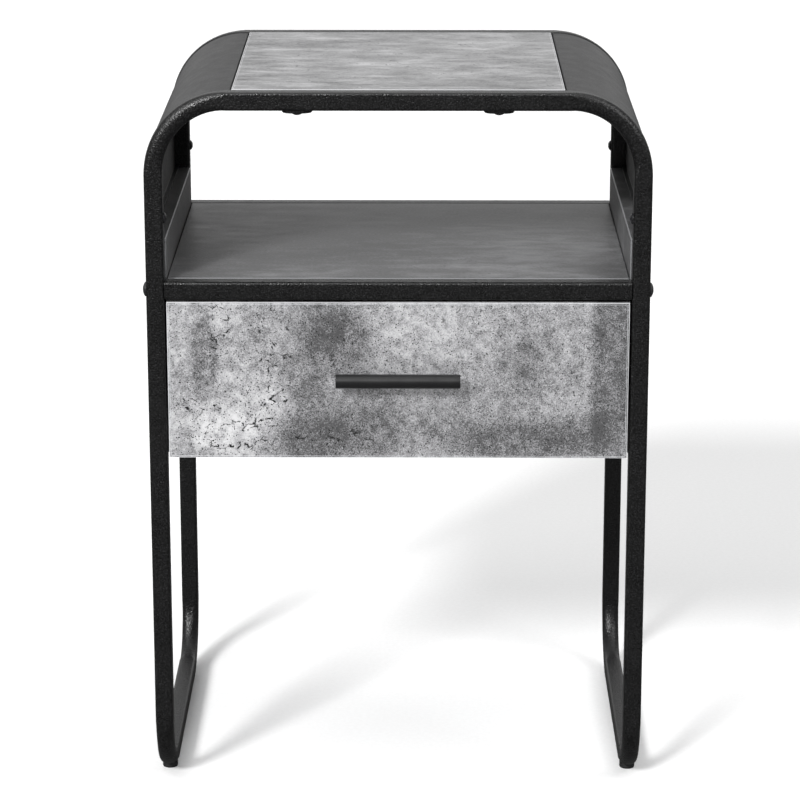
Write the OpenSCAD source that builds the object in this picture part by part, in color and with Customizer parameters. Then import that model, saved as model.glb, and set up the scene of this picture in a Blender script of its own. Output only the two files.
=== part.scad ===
// Side table with one drawer under an open shelf.
// Two bent tube arches stand on two sled side frames. Sheet steel covers close the rounded top
// corners, decor boards fill the frame, and the drawer runs on ball bearing slides.
// The front faces -Y and up is +Z. The origin is on the floor under the middle of the object,
// handle included.

/* [Overall] */
// Width over the outer faces of the frame tubes
table_w = 440; // [420:5:480]
// Depth from the front faces of the legs to their back faces
table_d = 342; // [336:2:370]
// Height from the floor to the top of the arches
table_h = 642.5; // [635:2.5:670]
// Height of the joint between the arches and the side frames
seam_z = 512; // [508:1:520]
// Height of the shelf's top face
shelf_z = 475.5; // [473:0.5:478]

/* [Tube frame] */
// Side of the square tube
tube = 16; // [15.5:0.5:17]
// Wall thickness of the square tube
tube_wall = 1.2; // [1:0.1:1.4]
// Rounding of the tube's outer corners
tube_corner = 2.5; // [2:0.25:3]
// Outer radius of the bends at the top of each arch
arch_bend = 72; // [66:2:76]
// Outer radius of the bends at the foot of each side frame
sled_bend = 60; // [50:2:70]

/* [Boards] */
// Thickness of the decor boards
board = 16; // [15.5:0.5:16]
// Chamfer on every edge of a decor board
board_edge = 0.8; // [0.4:0.1:1.2]
// Width of the top panel between the corner covers
top_panel_w = 288; // [270:2:290]
// Thickness of the sheet steel in the corner covers
cover_sheet = 1.2; // [1:0.1:1.5]
// How far the covers and side boards sit back from the outer faces of the tubes
side_recess = 1; // [0.6:0.2:1.4]

/* [Drawer] */
// Height of the drawer front
drawer_front_h = 141.6; // [130:0.2:142]
// Gap on each side of the drawer front
drawer_gap = 1.6; // [1.2:0.2:2.4]
// Thickness of the drawer box sides and back
box_wall = 12; // [10:1:12]
// Height of the drawer box sides
box_h = 100; // [90:2:104]
// Depth of the drawer box behind its front
box_d = 280; // [270:2:284]

/* [Drawer slides] */
// Space that each slide takes between a side board and the drawer box
slide_w = 12.7; // [12.5:0.1:13]
// Length of the drawer member of each slide
slide_len = 285; // [260:5:285]
// Balls in each row of a ball cage
balls_per_row = 8; // [4:1:8]

/* [Handle] */
// Diameter of the handle bar
handle_d = 12.5; // [11:0.5:14]
// Length of the handle bar
handle_len = 109; // [96:1:128]
// Space between the handle bar and the drawer front
handle_gap = 7.5; // [6:0.5:12]
// Distance between the two handle posts
post_spacing = 64; // [48:16:80]
// Diameter of a handle post
post_d = 5.6; // [5.2:0.2:7]

/* [Floor pads] */
// Diameter of a floor pad
pad_d = 14; // [12:1:15]
// Height of a floor pad
pad_h = 5; // [3:0.5:6]

/* [Hidden] */
$fn = 64;

steel_black = [0.10, 0.10, 0.11];
sheet_black = [0.16, 0.16, 0.17];
concrete_decor = [0.60, 0.60, 0.61];
shelf_decor = [0.42, 0.42, 0.43];
box_board = [0.30, 0.30, 0.31];
zinc = [0.72, 0.73, 0.75];
plastic_black = [0.08, 0.08, 0.08];
beech = [0.80, 0.66, 0.46];
bright_steel = [0.80, 0.81, 0.83];

// Reach past a surface that a cut breaks through
eps = 0.5;
// Play between a fastener and its hole, on the radius
play = 0.1;
// Play between a panel and what it stands against
panel_play = 0.5;

// Front and back planes of the legs. The handle stands out in front of them.
front_y = (handle_gap + handle_d - table_d) / 2;
rear_y = front_y + table_d;
// Centre lines of the front and rear tubes, and of the left and right ones
front_tube_y = front_y + tube / 2;
rear_tube_y = rear_y - tube / 2;
tube_x = table_w / 2 - tube / 2;
leg_inner_x = table_w / 2 - tube;
frame_base_z = pad_h;

// Side boards
side_board_out = table_w / 2 - side_recess;
side_board_in = side_board_out - board;
side_board_top = seam_z - 1;
drawer_front_bottom = shelf_z - tube - 1.9 - drawer_front_h;
side_board_bottom = drawer_front_bottom;

// Rails and shelf
rail_z = shelf_z - tube / 2;
shelf_bottom = shelf_z - board;
rail_bolt_r = 3;
rail_bolt_head_d = 12.8;
rail_bolt_head_h = 3.2;
rail_bolt_len = tube + 18;
socket_d = 4.6;
socket_depth = 2;
insert_len = 24;

// Joint between arch and side frame
spigot_side = tube - 2 * tube_wall - 0.4;
spigot_wall = 2.4;
spigot_reach = 30;
joint_screw_z = seam_z + 19;

// Top panel and its brackets
top_panel_bottom = table_h - board;
cover_gap = 1.2;
cover_flange = 9;
cover_bottom = seam_z;
cover_hem = 5;
bracket_x = 87;
bracket_w = 26;
bracket_len = 36;
bracket_t = 2.5;
bracket_setback = 2;
bracket_z = table_h - tube;
tube_screw_in = 9;
panel_screw_in = 28;

// Tongues that hold the side boards to the legs
tongue_zs = [drawer_front_bottom + 14, drawer_front_bottom + 130];
tongue_t = 2;
tongue_len = 14;
tongue_h = 20;
tongue_x = (side_board_in + side_board_out) / 2;

// Back panel and the fittings that hold the panels between the side boards
back_panel_rear = rear_y - tube - panel_play;
back_panel_y = back_panel_rear - board / 2;
back_panel_bottom = drawer_front_bottom + 2;
back_panel_top = shelf_bottom - 2;
panel_half_w = side_board_in - panel_play;
cam_ys = [-90, 90];
shelf_dowel_ys = [-120, 120];
back_cam_zs = [drawer_front_bottom + 44, drawer_front_bottom + 98];
back_dowel_zs = [drawer_front_bottom + 62, drawer_front_bottom + 80];
cam_inset = 24;
cam_r = 7.5;
cam_depth = 12.5;
dowel_r = 4;
dowel_in_side = 10;
dowel_in_panel = 20;

// Floor pads
pad_inset = 56;
pad_stem_r = 3;
pad_stem_len = 7;

// Drawer front and box
front_half_w = leg_inner_x - drawer_gap;
box_half_w = side_board_in - slide_w;
box_inner = box_half_w - box_wall;
box_front_y = front_y + board;
box_back_y = box_front_y + box_d;
box_bottom = drawer_front_bottom + 14;
box_top = box_bottom + box_h;
bottom_t = 4;
bottom_z = box_bottom + 8;
groove_depth = 6;
groove_play = 0.1;
back_top = box_top - 6;
drawer_dowel_r = 3;
drawer_dowel_zs = [box_bottom + 24, box_bottom + 80];
back_screw_zs = [box_bottom + 24, box_bottom + 86];

// Slides: u runs from the side board towards the drawer, v up from the slide's centre line
slide_z = drawer_front_bottom + 69;
slide_y = front_y + 20;
cabinet_member_len = slide_len + 4;
slide_sheet = 1.2;
outer_half_h = 17.5;
outer_flange = 10;
lip = 1;
inner_half_h = 12.5;
inner_start = 3;
ball_r = 1.7;
ball_u = 6;
ball_v = (outer_half_h - slide_sheet + inner_half_h) / 2;
cage_t = 0.6;
cage_u = 1.9;
cage_wing_end = 8.5;
cage_half_h = ball_v + cage_t / 2;
cage_len = 160;
cage_y = slide_y + slide_len - cage_len - 6;
ball_pitch = 20;
slide_screw_ys = [slide_y + 25, slide_y + slide_len / 2, slide_y + slide_len - 25];
slide_screw_r = 1.7;
slide_screw_len = 12;
bumper_t = 3;

// Handle
handle_y = front_y - handle_gap - handle_d / 2;
handle_z = drawer_front_bottom + 74;
handle_chamfer = 0.6;
handle_screw_r = 2;

// ---- helpers ----

// Puts a copy of the child on the right, and a mirrored one on the left
module both_sides() {
    children();
    mirror([1, 0, 0]) children();
}

// Mirrors a right-hand part into a left-hand one
module left_hand() mirror([1, 0, 0]) children();

// Turns a part that runs up +Z so that it runs along +X, or along +Y
module along_x() rotate([0, 90, 0]) children();
module along_y() rotate([-90, 0, 0]) children();

// Square with round corners, centred
module rounded_square(side, r) {
    square([side, side - 2 * r], center = true);
    square([side - 2 * r, side], center = true);
    for (sx = [-1, 1], sy = [-1, 1])
        translate([sx * (side / 2 - r), sy * (side / 2 - r)]) circle(r);
}

// Cross-section of the square tube
module tube_section() {
    difference() {
        rounded_square(tube, tube_corner);
        rounded_square(tube - 2 * tube_wall, tube_corner - tube_wall);
    }
}

// Quarter bend of the tube in the XZ plane, from the +X side up to the +Z side of its centre
module tube_bend(centre_r) {
    rotate([90, 0, 0]) rotate_extrude(angle = 90, $fn = 128) translate([centre_r, 0]) tube_section();
}

// Outline of a rectangle with cut corners
function cut_rectangle(w, h, c) =
    [[c, 0], [w - c, 0], [w, c], [w, h - c], [w - c, h], [c, h], [0, h - c], [0, c]];

// Board between two corner points, with every edge chamfered
module chamfered_board(low, high, c = board_edge) {
    size = high - low;
    translate(low) intersection() {
        linear_extrude(size.z) polygon(cut_rectangle(size.x, size.y, c));
        translate([0, size.y, 0]) rotate([90, 0, 0]) linear_extrude(size.y)
            polygon(cut_rectangle(size.x, size.z, c));
        rotate([90, 0, 90]) linear_extrude(size.x) polygon(cut_rectangle(size.y, size.z, c));
    }
}

// Block between two corner points
module block(low, high) {
    translate(low) cube(high - low);
}

// Round hole along +Z from the origin, starting a little before it
module bore(r, depth) {
    translate([0, 0, -eps]) cylinder(r = r, h = depth + eps);
}

// Low domed head below z = 0
module dome_head(head_d, head_h) {
    rim = head_h * 0.35;
    cap = head_h - rim;
    ball = (head_d * head_d / 4 + cap * cap) / (2 * cap);
    translate([0, 0, -rim]) cylinder(d = head_d, h = rim);
    intersection() {
        translate([0, 0, ball - head_h]) sphere(ball);
        translate([0, 0, -head_h - eps]) cylinder(d = head_d, h = cap + eps);
    }
}

// Screw with a domed head below z = 0, a cross recess in it, and its shank up +Z
module dome_screw(head_d, head_h, shank_r, shank_len) {
    recess = [head_d * 0.5, head_d * 0.12, head_h * 0.5];
    difference() {
        union() {
            cylinder(r = shank_r, h = shank_len);
            dome_head(head_d, head_h);
        }
        for (turn = [0, 90]) rotate(turn)
            translate([-recess.x / 2, -recess.y / 2, -head_h - eps]) cube(recess + [0, 0, eps]);
    }
}

// Countersunk screw, its head's face at z = 0 and its shank up +Z
module flush_screw(head_r, head_h, shank_r, shank_len) {
    difference() {
        union() {
            cylinder(r1 = head_r, r2 = shank_r, h = head_h);
            cylinder(r = shank_r, h = shank_len);
        }
        translate([0, 0, -eps]) cylinder(r = head_r * 0.3, h = eps + head_h * 0.6);
    }
}

// The space that a countersunk screw needs
module flush_screw_hole(head_r, head_h, shank_r, shank_len) {
    cylinder(r1 = head_r + play, r2 = shank_r + play, h = head_h);
    bore(shank_r + play, shank_len + play);
}

// ---- frame ----

// Arch whose tube's centre plane is y = 0
module arch_tube() {
    centre_r = arch_bend - tube / 2;
    bend_x = tube_x - centre_r;
    bend_z = table_h - arch_bend;
    both_sides() {
        translate([tube_x, 0, seam_z]) linear_extrude(bend_z - seam_z) tube_section();
        translate([bend_x, 0, bend_z]) tube_bend(centre_r);
    }
    translate([-bend_x, 0, table_h - tube / 2]) along_x() linear_extrude(2 * bend_x) tube_section();
}

// Arch with its holes; inward is +1 where the inside of the table is towards +Y
module arch(inward) {
    difference() {
        arch_tube();
        both_sides() translate([leg_inner_x, 0, joint_screw_z]) along_x() bore(2.5 + play, tube_wall + eps);
        both_sides() translate([bracket_x, inward * (tube_screw_in - tube / 2), bracket_z])
            bore(2 + play, tube_wall + eps);
    }
}

module front_arch() color(steel_black) translate([0, front_tube_y, 0]) arch(1);

module rear_arch() color(steel_black) translate([0, rear_tube_y, 0]) arch(-1);

// Right-hand sled frame: two legs and a runner, bent from one tube
module side_frame() {
    centre_r = sled_bend - tube / 2;
    bend_z = frame_base_z + sled_bend;
    front_bend_y = front_y + sled_bend;
    rear_bend_y = rear_y - sled_bend;
    difference() {
        union() {
            for (y = [front_tube_y, rear_tube_y])
                translate([tube_x, y, bend_z]) linear_extrude(seam_z - bend_z) tube_section();
            translate([tube_x, rear_bend_y, bend_z]) mirror([0, 0, 1]) rotate(90) tube_bend(centre_r);
            translate([tube_x, front_bend_y, bend_z]) mirror([0, 0, 1]) rotate(-90) tube_bend(centre_r);
            translate([tube_x, front_bend_y, frame_base_z + tube / 2]) along_y()
                linear_extrude(rear_bend_y - front_bend_y) tube_section();
        }
        for (y = [front_tube_y, rear_tube_y])
            translate([leg_inner_x, y, rail_z]) along_x() bore(rail_bolt_r + 0.3, tube + eps);
        for (y = [front_y + pad_inset, rear_y - pad_inset])
            translate([tube_x, y, frame_base_z]) bore(pad_stem_r + play, tube_wall + eps);
    }
}

module left_side_frame() color(steel_black) left_hand() side_frame();

module right_side_frame() color(steel_black) side_frame();

module joint_spigots() color(zinc) both_sides() {
    for (y = [front_tube_y, rear_tube_y]) translate([tube_x, y, seam_z]) difference() {
        translate([0, 0, -spigot_reach]) linear_extrude(2 * spigot_reach) difference() {
            rounded_square(spigot_side, tube_corner - tube_wall);
            square(spigot_side - 2 * spigot_wall, center = true);
        }
        translate([-tube / 2, 0, joint_screw_z - seam_z]) along_x() bore(2.5 + play, tube / 2);
    }
}

module joint_screws() color(plastic_black) both_sides() {
    for (y = [front_tube_y, rear_tube_y])
        translate([leg_inner_x, y, joint_screw_z]) along_x() dome_screw(9.4, 3, 2.5, 6);
}

module rail(y) {
    translate([-leg_inner_x, y, rail_z]) along_x() linear_extrude(2 * leg_inner_x) tube_section();
}

module front_rail() color(steel_black) rail(front_tube_y);

module rear_rail() color(steel_black) rail(rear_tube_y);

module rail_inserts() color(zinc) both_sides() {
    for (y = [front_tube_y, rear_tube_y]) translate([leg_inner_x - insert_len, y, rail_z]) along_x()
        difference() {
            linear_extrude(insert_len) rounded_square(spigot_side, tube_corner - tube_wall);
            bore(rail_bolt_r + play, insert_len + eps);
        }
}

// Bolt with a domed head below z = 0, a hexagon socket in it, and its shank up +Z
module rail_bolt() {
    difference() {
        union() {
            cylinder(r = rail_bolt_r, h = rail_bolt_len);
            dome_head(rail_bolt_head_d, rail_bolt_head_h);
        }
        translate([0, 0, -rail_bolt_head_h - eps]) cylinder(d = socket_d, h = socket_depth + eps, $fn = 6);
    }
}

module rail_bolts() color(plastic_black) both_sides() {
    for (y = [front_tube_y, rear_tube_y])
        translate([table_w / 2, y, rail_z]) mirror([1, 0, 0]) along_x() rail_bolt();
}

// Right-hand sheet cover over the rounded corner between the arches
module corner_cover() {
    bend_x = table_w / 2 - arch_bend;
    bend_z = table_h - arch_bend;
    outer_r = arch_bend - side_recess;
    inner_r = outer_r - cover_sheet;
    y0 = front_y + tube;
    y1 = rear_y - tube;
    edge_x = top_panel_w / 2 + cover_gap;
    outer_x = bend_x + outer_r;
    inner_x = bend_x + inner_r;
    top_z = bend_z + outer_r;
    translate([bend_x, y1, bend_z]) rotate([90, 0, 0]) rotate_extrude(angle = 90, $fn = 128)
        translate([inner_r, 0]) square([cover_sheet, y1 - y0]);
    block([edge_x, y0, top_z - cover_sheet], [bend_x, y1, top_z]);
    block([edge_x, y0, top_z - cover_flange], [edge_x + cover_sheet, y1, top_z]);
    block([inner_x, y0, cover_bottom], [outer_x, y1, bend_z]);
    block([inner_x - cover_sheet, y0, cover_bottom], [outer_x, y1, cover_bottom + cover_hem]);
}

module left_corner_cover() color(sheet_black) left_hand() corner_cover();

module right_corner_cover() color(sheet_black) corner_cover();

// ---- top panel ----

module top_panel() color(concrete_decor) difference() {
    chamfered_board(
        [-top_panel_w / 2, front_y + tube + panel_play, top_panel_bottom],
        [top_panel_w / 2, rear_y - tube - panel_play, table_h]
    );
    at_brackets(panel_screw_in) bore(2 + play, 12);
}

// Repeats its children at one distance in from the front and back planes, at all four brackets
module at_brackets(inset) {
    both_sides() for (y = [front_y + inset, rear_y - inset]) translate([bracket_x, y, bracket_z]) children();
}

module top_brackets() color(steel_black) difference() {
    both_sides() for (y = [front_y + bracket_setback, rear_y - bracket_setback - bracket_len]) {
        r = bracket_w / 2;
        translate([bracket_x, y + r, bracket_z - bracket_t]) {
            cylinder(r = r, h = bracket_t);
            translate([0, bracket_len - bracket_w, 0]) cylinder(r = r, h = bracket_t);
            translate([-r, 0, 0]) cube([bracket_w, bracket_len - bracket_w, bracket_t]);
        }
    }
    for (inset = [tube_screw_in, panel_screw_in]) at_brackets(inset)
        translate([0, 0, -bracket_t]) bore(2 + play, bracket_t + eps);
}

module top_bracket_screws() color(plastic_black) at_brackets(tube_screw_in)
    translate([0, 0, -bracket_t]) dome_screw(9, 2.4, 2, 9);

module top_panel_screws() color(plastic_black) at_brackets(panel_screw_in)
    translate([0, 0, -bracket_t]) dome_screw(9, 2.4, 2, 14);

// ---- boards between the legs ----

// Repeats its children at the four tongues of the right-hand side board, where the leg's face is;
// the children run towards the middle of the board, along +Y
module at_tongues() {
    for (z = tongue_zs) {
        translate([tongue_x, front_y + tube, z]) children();
        translate([tongue_x, rear_y - tube, z]) mirror([0, 1, 0]) children();
    }
}

// Right-hand side board with its holes and slots
module side_board() {
    difference() {
        chamfered_board(
            [side_board_in, front_y + tube + panel_play, side_board_bottom],
            [side_board_out, rear_y - tube - panel_play, side_board_top]
        );
        at_tongues() {
            translate([-tongue_t / 2 - play, -eps, -tongue_h / 2 - 1])
                cube([tongue_t + 2 * play, tongue_len + 1 + eps, tongue_h + 2]);
            translate([side_board_in - tongue_x, tongue_len / 2, 0]) along_x()
                flush_screw_hole(4, 2.4, 2, 12);
        }
        for (y = slide_screw_ys) translate([side_board_in, y, slide_z]) along_x()
            bore(slide_screw_r + play, slide_screw_len);
        for (y = cam_ys) translate([side_board_in, y, rail_z]) along_x() bore(2.5 + play, 11);
        for (y = shelf_dowel_ys) translate([side_board_in, y, rail_z]) along_x()
            bore(dowel_r + play / 2, dowel_in_side + eps);
        for (z = back_cam_zs) translate([side_board_in, back_panel_y, z]) along_x() bore(2.5 + play, 11);
        for (z = back_dowel_zs) translate([side_board_in, back_panel_y, z]) along_x()
            bore(dowel_r + play / 2, dowel_in_side + eps);
    }
}

module left_side_board() color(shelf_decor) left_hand() side_board();

module right_side_board() color(shelf_decor) side_board();

module board_tongues() color(steel_black) both_sides() at_tongues() difference() {
    translate([-tongue_t / 2, 0, -tongue_h / 2]) cube([tongue_t, tongue_len, tongue_h]);
    translate([-tongue_t, tongue_len / 2, 0]) along_x() bore(2 + play, 2 * tongue_t);
}

module board_screws() color(zinc) both_sides() at_tongues()
    translate([side_board_in - tongue_x, tongue_len / 2, 0]) along_x() flush_screw(4, 2.4, 2, 11.5);

// Holes that one panel end needs: cam housing, cam bolt and dowel. The end's face is the plane
// x = 0, the panel runs towards -X, and the cam is let in from the -Z side of its mid-plane.
module cam_hole() {
    translate([-cam_inset, 0, -board / 2]) bore(cam_r + play, cam_depth + play);
    translate([-cam_inset, 0, 0]) along_x() cylinder(r = 4, h = cam_inset + eps);
}

module dowel_hole() {
    translate([-dowel_in_panel - play, 0, 0]) along_x()
        cylinder(r = dowel_r + play / 2, h = dowel_in_panel + play + eps);
}

// Turns a fitting that lies in the level shelf into one for the upright back panel
module upright() rotate([-90, 0, 0]) children();

// Repeats a fitting at every cam, or every dowel, of the shelf and the back panel
module at_shelf(ys) for (y = ys) translate([panel_half_w, y, rail_z]) children();

module at_back(zs) for (z = zs) translate([panel_half_w, back_panel_y, z]) upright() children();

module shelf_panel() color(shelf_decor) difference() {
    chamfered_board(
        [-panel_half_w, front_y + tube + panel_play, shelf_bottom],
        [panel_half_w, rear_y - tube - panel_play, shelf_z]
    );
    both_sides() at_shelf(cam_ys) cam_hole();
    both_sides() at_shelf(shelf_dowel_ys) dowel_hole();
}

module back_panel() color(concrete_decor) difference() {
    chamfered_board(
        [-panel_half_w, back_panel_rear - board, back_panel_bottom],
        [panel_half_w, back_panel_rear, back_panel_top]
    );
    both_sides() at_back(back_cam_zs) cam_hole();
    both_sides() at_back(back_dowel_zs) dowel_hole();
}

// Cam lock: a disc with a slot for the head of the cam bolt and a cross recess in its face
module cam_lock() {
    translate([-cam_inset, 0, -board / 2]) difference() {
        cylinder(r = cam_r, h = cam_depth);
        translate([0, 0, board / 2]) along_x() cylinder(r = 3.7, h = cam_r + eps);
        for (turn = [0, 90]) rotate(turn) translate([-4, -0.8, -eps]) cube([8, 1.6, 1.5 + eps]);
    }
}

// Cam bolt: threaded in the side board, with its neck and head inside the cam lock
module cam_bolt() {
    translate([-cam_inset + 3, 0, 0]) along_x() cylinder(r = 3.3, h = 2.5);
    translate([-cam_inset + 3, 0, 0]) along_x() cylinder(r = 2, h = cam_inset - 3);
    translate([-12, 0, 0]) along_x() cylinder(r = 3.3, h = 12 + panel_play - play);
    along_x() cylinder(r = 2.5, h = panel_play + 10);
}

module cam_locks() color(zinc) both_sides() {
    at_shelf(cam_ys) cam_lock();
    at_back(back_cam_zs) cam_lock();
}

module cam_bolts() color(bright_steel) both_sides() {
    at_shelf(cam_ys) cam_bolt();
    at_back(back_cam_zs) cam_bolt();
}

module dowel() {
    translate([-dowel_in_panel, 0, 0]) along_x()
        cylinder(r = dowel_r, h = dowel_in_panel + panel_play + dowel_in_side);
}

module panel_dowels() color(beech) both_sides() {
    at_shelf(shelf_dowel_ys) dowel();
    at_back(back_dowel_zs) dowel();
}

module floor_pads() color(plastic_black) both_sides() {
    for (y = [front_y + pad_inset, rear_y - pad_inset]) translate([tube_x, y, 0]) {
        cylinder(d1 = pad_d - 2, d2 = pad_d, h = 1);
        translate([0, 0, 1]) cylinder(d = pad_d, h = pad_h - 1);
        translate([0, 0, pad_h]) cylinder(r = pad_stem_r, h = pad_stem_len);
    }
}

// ---- drawer slides, right hand ----

// Lays a section drawn in u and v along the slide, from one depth to another
module slide_length(y0, len) {
    translate([side_board_in, y0 + len, slide_z]) rotate([90, 0, 0]) linear_extrude(len)
        mirror([1, 0]) children();
}

// Rectangle between two corners of the slide's section
module patch(u0, u1, v0, v1) translate([u0, v0]) square([u1 - u0, v1 - v0]);

// Channel section with its web at u0 and its flanges towards u1
module channel(u0, u1, half_h, sheet) {
    difference() {
        patch(u0, u1, -half_h, half_h);
        patch(u0 + sheet, u1 + eps, sheet - half_h, half_h - sheet);
    }
}

module cabinet_section() {
    clear = outer_half_h - slide_sheet;
    difference() {
        patch(0, outer_flange, -outer_half_h, outer_half_h);
        patch(slide_sheet, outer_flange - lip, -clear, clear);
        patch(slide_sheet, outer_flange + eps, lip - clear, clear - lip);
    }
}

module drawer_section() {
    translate([slide_w, 0]) mirror([1, 0]) channel(0, slide_w - inner_start, inner_half_h, slide_sheet);
}

module cage_section() channel(cage_u, cage_wing_end, cage_half_h, cage_t);

module cabinet_slide() {
    difference() {
        slide_length(slide_y, cabinet_member_len) cabinet_section();
        for (y = slide_screw_ys) translate([side_board_in - slide_sheet, y, slide_z]) along_x()
            flush_screw_hole(3, slide_sheet, slide_screw_r, slide_screw_len);
    }
}

module left_cabinet_slide() color(bright_steel) left_hand() cabinet_slide();

module right_cabinet_slide() color(bright_steel) cabinet_slide();

module drawer_slide() {
    difference() {
        slide_length(slide_y, slide_len) drawer_section();
        for (y = slide_screw_ys) translate([box_half_w + slide_sheet, y, slide_z]) mirror([1, 0, 0])
            along_x() flush_screw_hole(3, slide_sheet, slide_screw_r, slide_screw_len);
    }
}

module left_drawer_slide() color(bright_steel) left_hand() drawer_slide();

module right_drawer_slide() color(bright_steel) drawer_slide();

module cabinet_slide_screws() color(zinc) both_sides() {
    for (y = slide_screw_ys) translate([side_board_in - slide_sheet, y, slide_z]) along_x()
        flush_screw(3, slide_sheet, slide_screw_r, slide_screw_len);
}

module drawer_slide_screws() color(zinc) both_sides() {
    for (y = slide_screw_ys) translate([box_half_w + slide_sheet, y, slide_z]) mirror([1, 0, 0])
        along_x() flush_screw(3, slide_sheet, slide_screw_r, slide_screw_len - 1);
}

// Repeats its children at every ball of the right-hand slide
module at_balls() {
    first_y = cage_y + (cage_len - (balls_per_row - 1) * ball_pitch) / 2;
    for (i = [0 : balls_per_row - 1], v = [-ball_v, ball_v])
        translate([side_board_in - ball_u, first_y + i * ball_pitch, slide_z + v]) children();
}

module ball_cage() {
    difference() {
        slide_length(cage_y, cage_len) cage_section();
        at_balls() cylinder(r = ball_r + 0.15, h = 4, center = true, $fn = 32);
    }
}

module left_ball_cage() color(zinc) left_hand() ball_cage();

module right_ball_cage() color(zinc) ball_cage();

module left_slide_balls() color(bright_steel) left_hand() at_balls() sphere(ball_r, $fn = 32);

module right_slide_balls() color(bright_steel) at_balls() sphere(ball_r, $fn = 32);

module slide_bumpers() color(plastic_black) both_sides() {
    y = slide_y + slide_len + 0.4;
    block(
        [side_board_in - outer_flange, y, slide_z - inner_half_h],
        [side_board_in - slide_sheet, y + bumper_t, slide_z + inner_half_h]
    );
}

// ---- drawer ----

module drawer_front() color(concrete_decor) difference() {
    chamfered_board(
        [-front_half_w, front_y, drawer_front_bottom],
        [front_half_w, front_y + board, drawer_front_bottom + drawer_front_h]
    );
    both_sides() {
        translate([post_spacing / 2, front_y, handle_z]) along_y() bore(2 + play, board + eps);
        for (z = drawer_dowel_zs) translate([box_half_w - box_wall / 2, box_front_y + eps, z])
            rotate([90, 0, 0]) cylinder(r = drawer_dowel_r + play / 2, h = 10.5 + eps);
    }
}

// Right-hand side of the drawer box
module box_side() {
    difference() {
        block([box_inner, box_front_y, box_bottom], [box_half_w, box_back_y, box_top]);
        block(
            [box_inner - eps, box_front_y - eps, bottom_z - groove_play],
            [box_inner + groove_depth, box_back_y + eps, bottom_z + bottom_t + groove_play]
        );
        for (z = drawer_dowel_zs) translate([box_half_w - box_wall / 2, box_front_y, z]) along_y()
            bore(drawer_dowel_r + play / 2, 20.5);
        for (z = back_screw_zs) translate([box_half_w, box_back_y - box_wall / 2, z]) mirror([1, 0, 0])
            along_x() flush_screw_hole(4, 2.4, 2, 30);
        for (y = slide_screw_ys) translate([box_half_w, y, slide_z]) mirror([1, 0, 0]) along_x()
            bore(slide_screw_r + play, slide_screw_len - slide_sheet - 0.5);
    }
}

module drawer_left_side() color(box_board) left_hand() box_side();

module drawer_right_side() color(box_board) box_side();

module drawer_back() color(box_board) difference() {
    block(
        [-box_inner, box_back_y - box_wall, bottom_z + bottom_t + groove_play],
        [box_inner, box_back_y, back_top]
    );
    both_sides() for (z = back_screw_zs) translate([box_inner + eps, box_back_y - box_wall / 2, z])
        mirror([1, 0, 0]) along_x() cylinder(r = 2 + play, h = 20 + eps);
}

module drawer_bottom() color(box_board) {
    half_w = box_inner + groove_depth - groove_play;
    block([-half_w, box_front_y + groove_play, bottom_z], [half_w, box_back_y, bottom_z + bottom_t]);
}

module drawer_dowels() color(beech) both_sides() {
    for (z = drawer_dowel_zs) translate([box_half_w - box_wall / 2, box_front_y - 10, z]) along_y()
        cylinder(r = drawer_dowel_r, h = 30);
}

module drawer_back_screws() color(zinc) both_sides() {
    for (z = back_screw_zs) translate([box_half_w, box_back_y - box_wall / 2, z]) mirror([1, 0, 0])
        along_x() flush_screw(4, 2.4, 2, 29.5);
}

module handle_bar() color(plastic_black) difference() {
    translate([-handle_len / 2, handle_y, handle_z]) along_x() {
        r = handle_d / 2;
        cylinder(r1 = r - handle_chamfer, r2 = r, h = handle_chamfer);
        translate([0, 0, handle_chamfer]) cylinder(r = r, h = handle_len - 2 * handle_chamfer);
        translate([0, 0, handle_len - handle_chamfer])
            cylinder(r1 = r, r2 = r - handle_chamfer, h = handle_chamfer);
    }
    both_sides() translate([post_spacing / 2, handle_y, handle_z]) along_y() {
        cylinder(r = handle_screw_r + play, h = handle_d);
        translate([0, 0, handle_d / 2 - 1]) cylinder(r = post_d / 2 + play, h = handle_d);
    }
}

module handle_posts() color(plastic_black) both_sides() {
    reach = handle_gap + 1 - play;
    translate([post_spacing / 2, front_y - reach, handle_z]) along_y() difference() {
        cylinder(d = post_d, h = reach);
        translate([0, 0, -eps]) cylinder(r = handle_screw_r + play, h = reach + 2 * eps);
    }
}

module handle_screws() color(zinc) both_sides() {
    translate([post_spacing / 2, box_front_y, handle_z]) rotate([90, 0, 0])
        dome_screw(8, 2.2, handle_screw_r, board + handle_gap + handle_d / 2 - 0.5);
}

front_arch();
rear_arch();
left_side_frame();
right_side_frame();
joint_spigots();
joint_screws();
front_rail();
rear_rail();
rail_inserts();
rail_bolts();
left_corner_cover();
right_corner_cover();
top_panel();
top_brackets();
top_bracket_screws();
top_panel_screws();
left_side_board();
right_side_board();
board_tongues();
board_screws();
shelf_panel();
back_panel();
cam_locks();
cam_bolts();
panel_dowels();
floor_pads();
left_cabinet_slide();
right_cabinet_slide();
cabinet_slide_screws();
slide_bumpers();
left_ball_cage();
right_ball_cage();
left_slide_balls();
right_slide_balls();
left_drawer_slide();
right_drawer_slide();
drawer_slide_screws();
drawer_front();
drawer_left_side();
drawer_right_side();
drawer_back();
drawer_bottom();
drawer_dowels();
drawer_back_screws();
handle_bar();
handle_posts();
handle_screws();
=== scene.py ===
"""Side table with one drawer: a bent square-tube frame, concrete decor boards,
curved sheet covers over the top corners and a bar handle.

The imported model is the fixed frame. This file gives it its looks: the tubes, covers,
boards, brackets, pads and handle are modelled around it, and every other node keeps its
shape and gets its real finish.
"""

import logging  # noqa: E402
import math  # noqa: E402
from dataclasses import dataclass  # noqa: E402
from enum import Enum  # noqa: E402
from functools import reduce  # noqa: E402
from typing import Any, Callable, Iterable, Optional, Sequence  # noqa: E402

import bmesh  # noqa: E402
import bpy  # noqa: E402
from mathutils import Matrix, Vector  # noqa: E402


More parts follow.
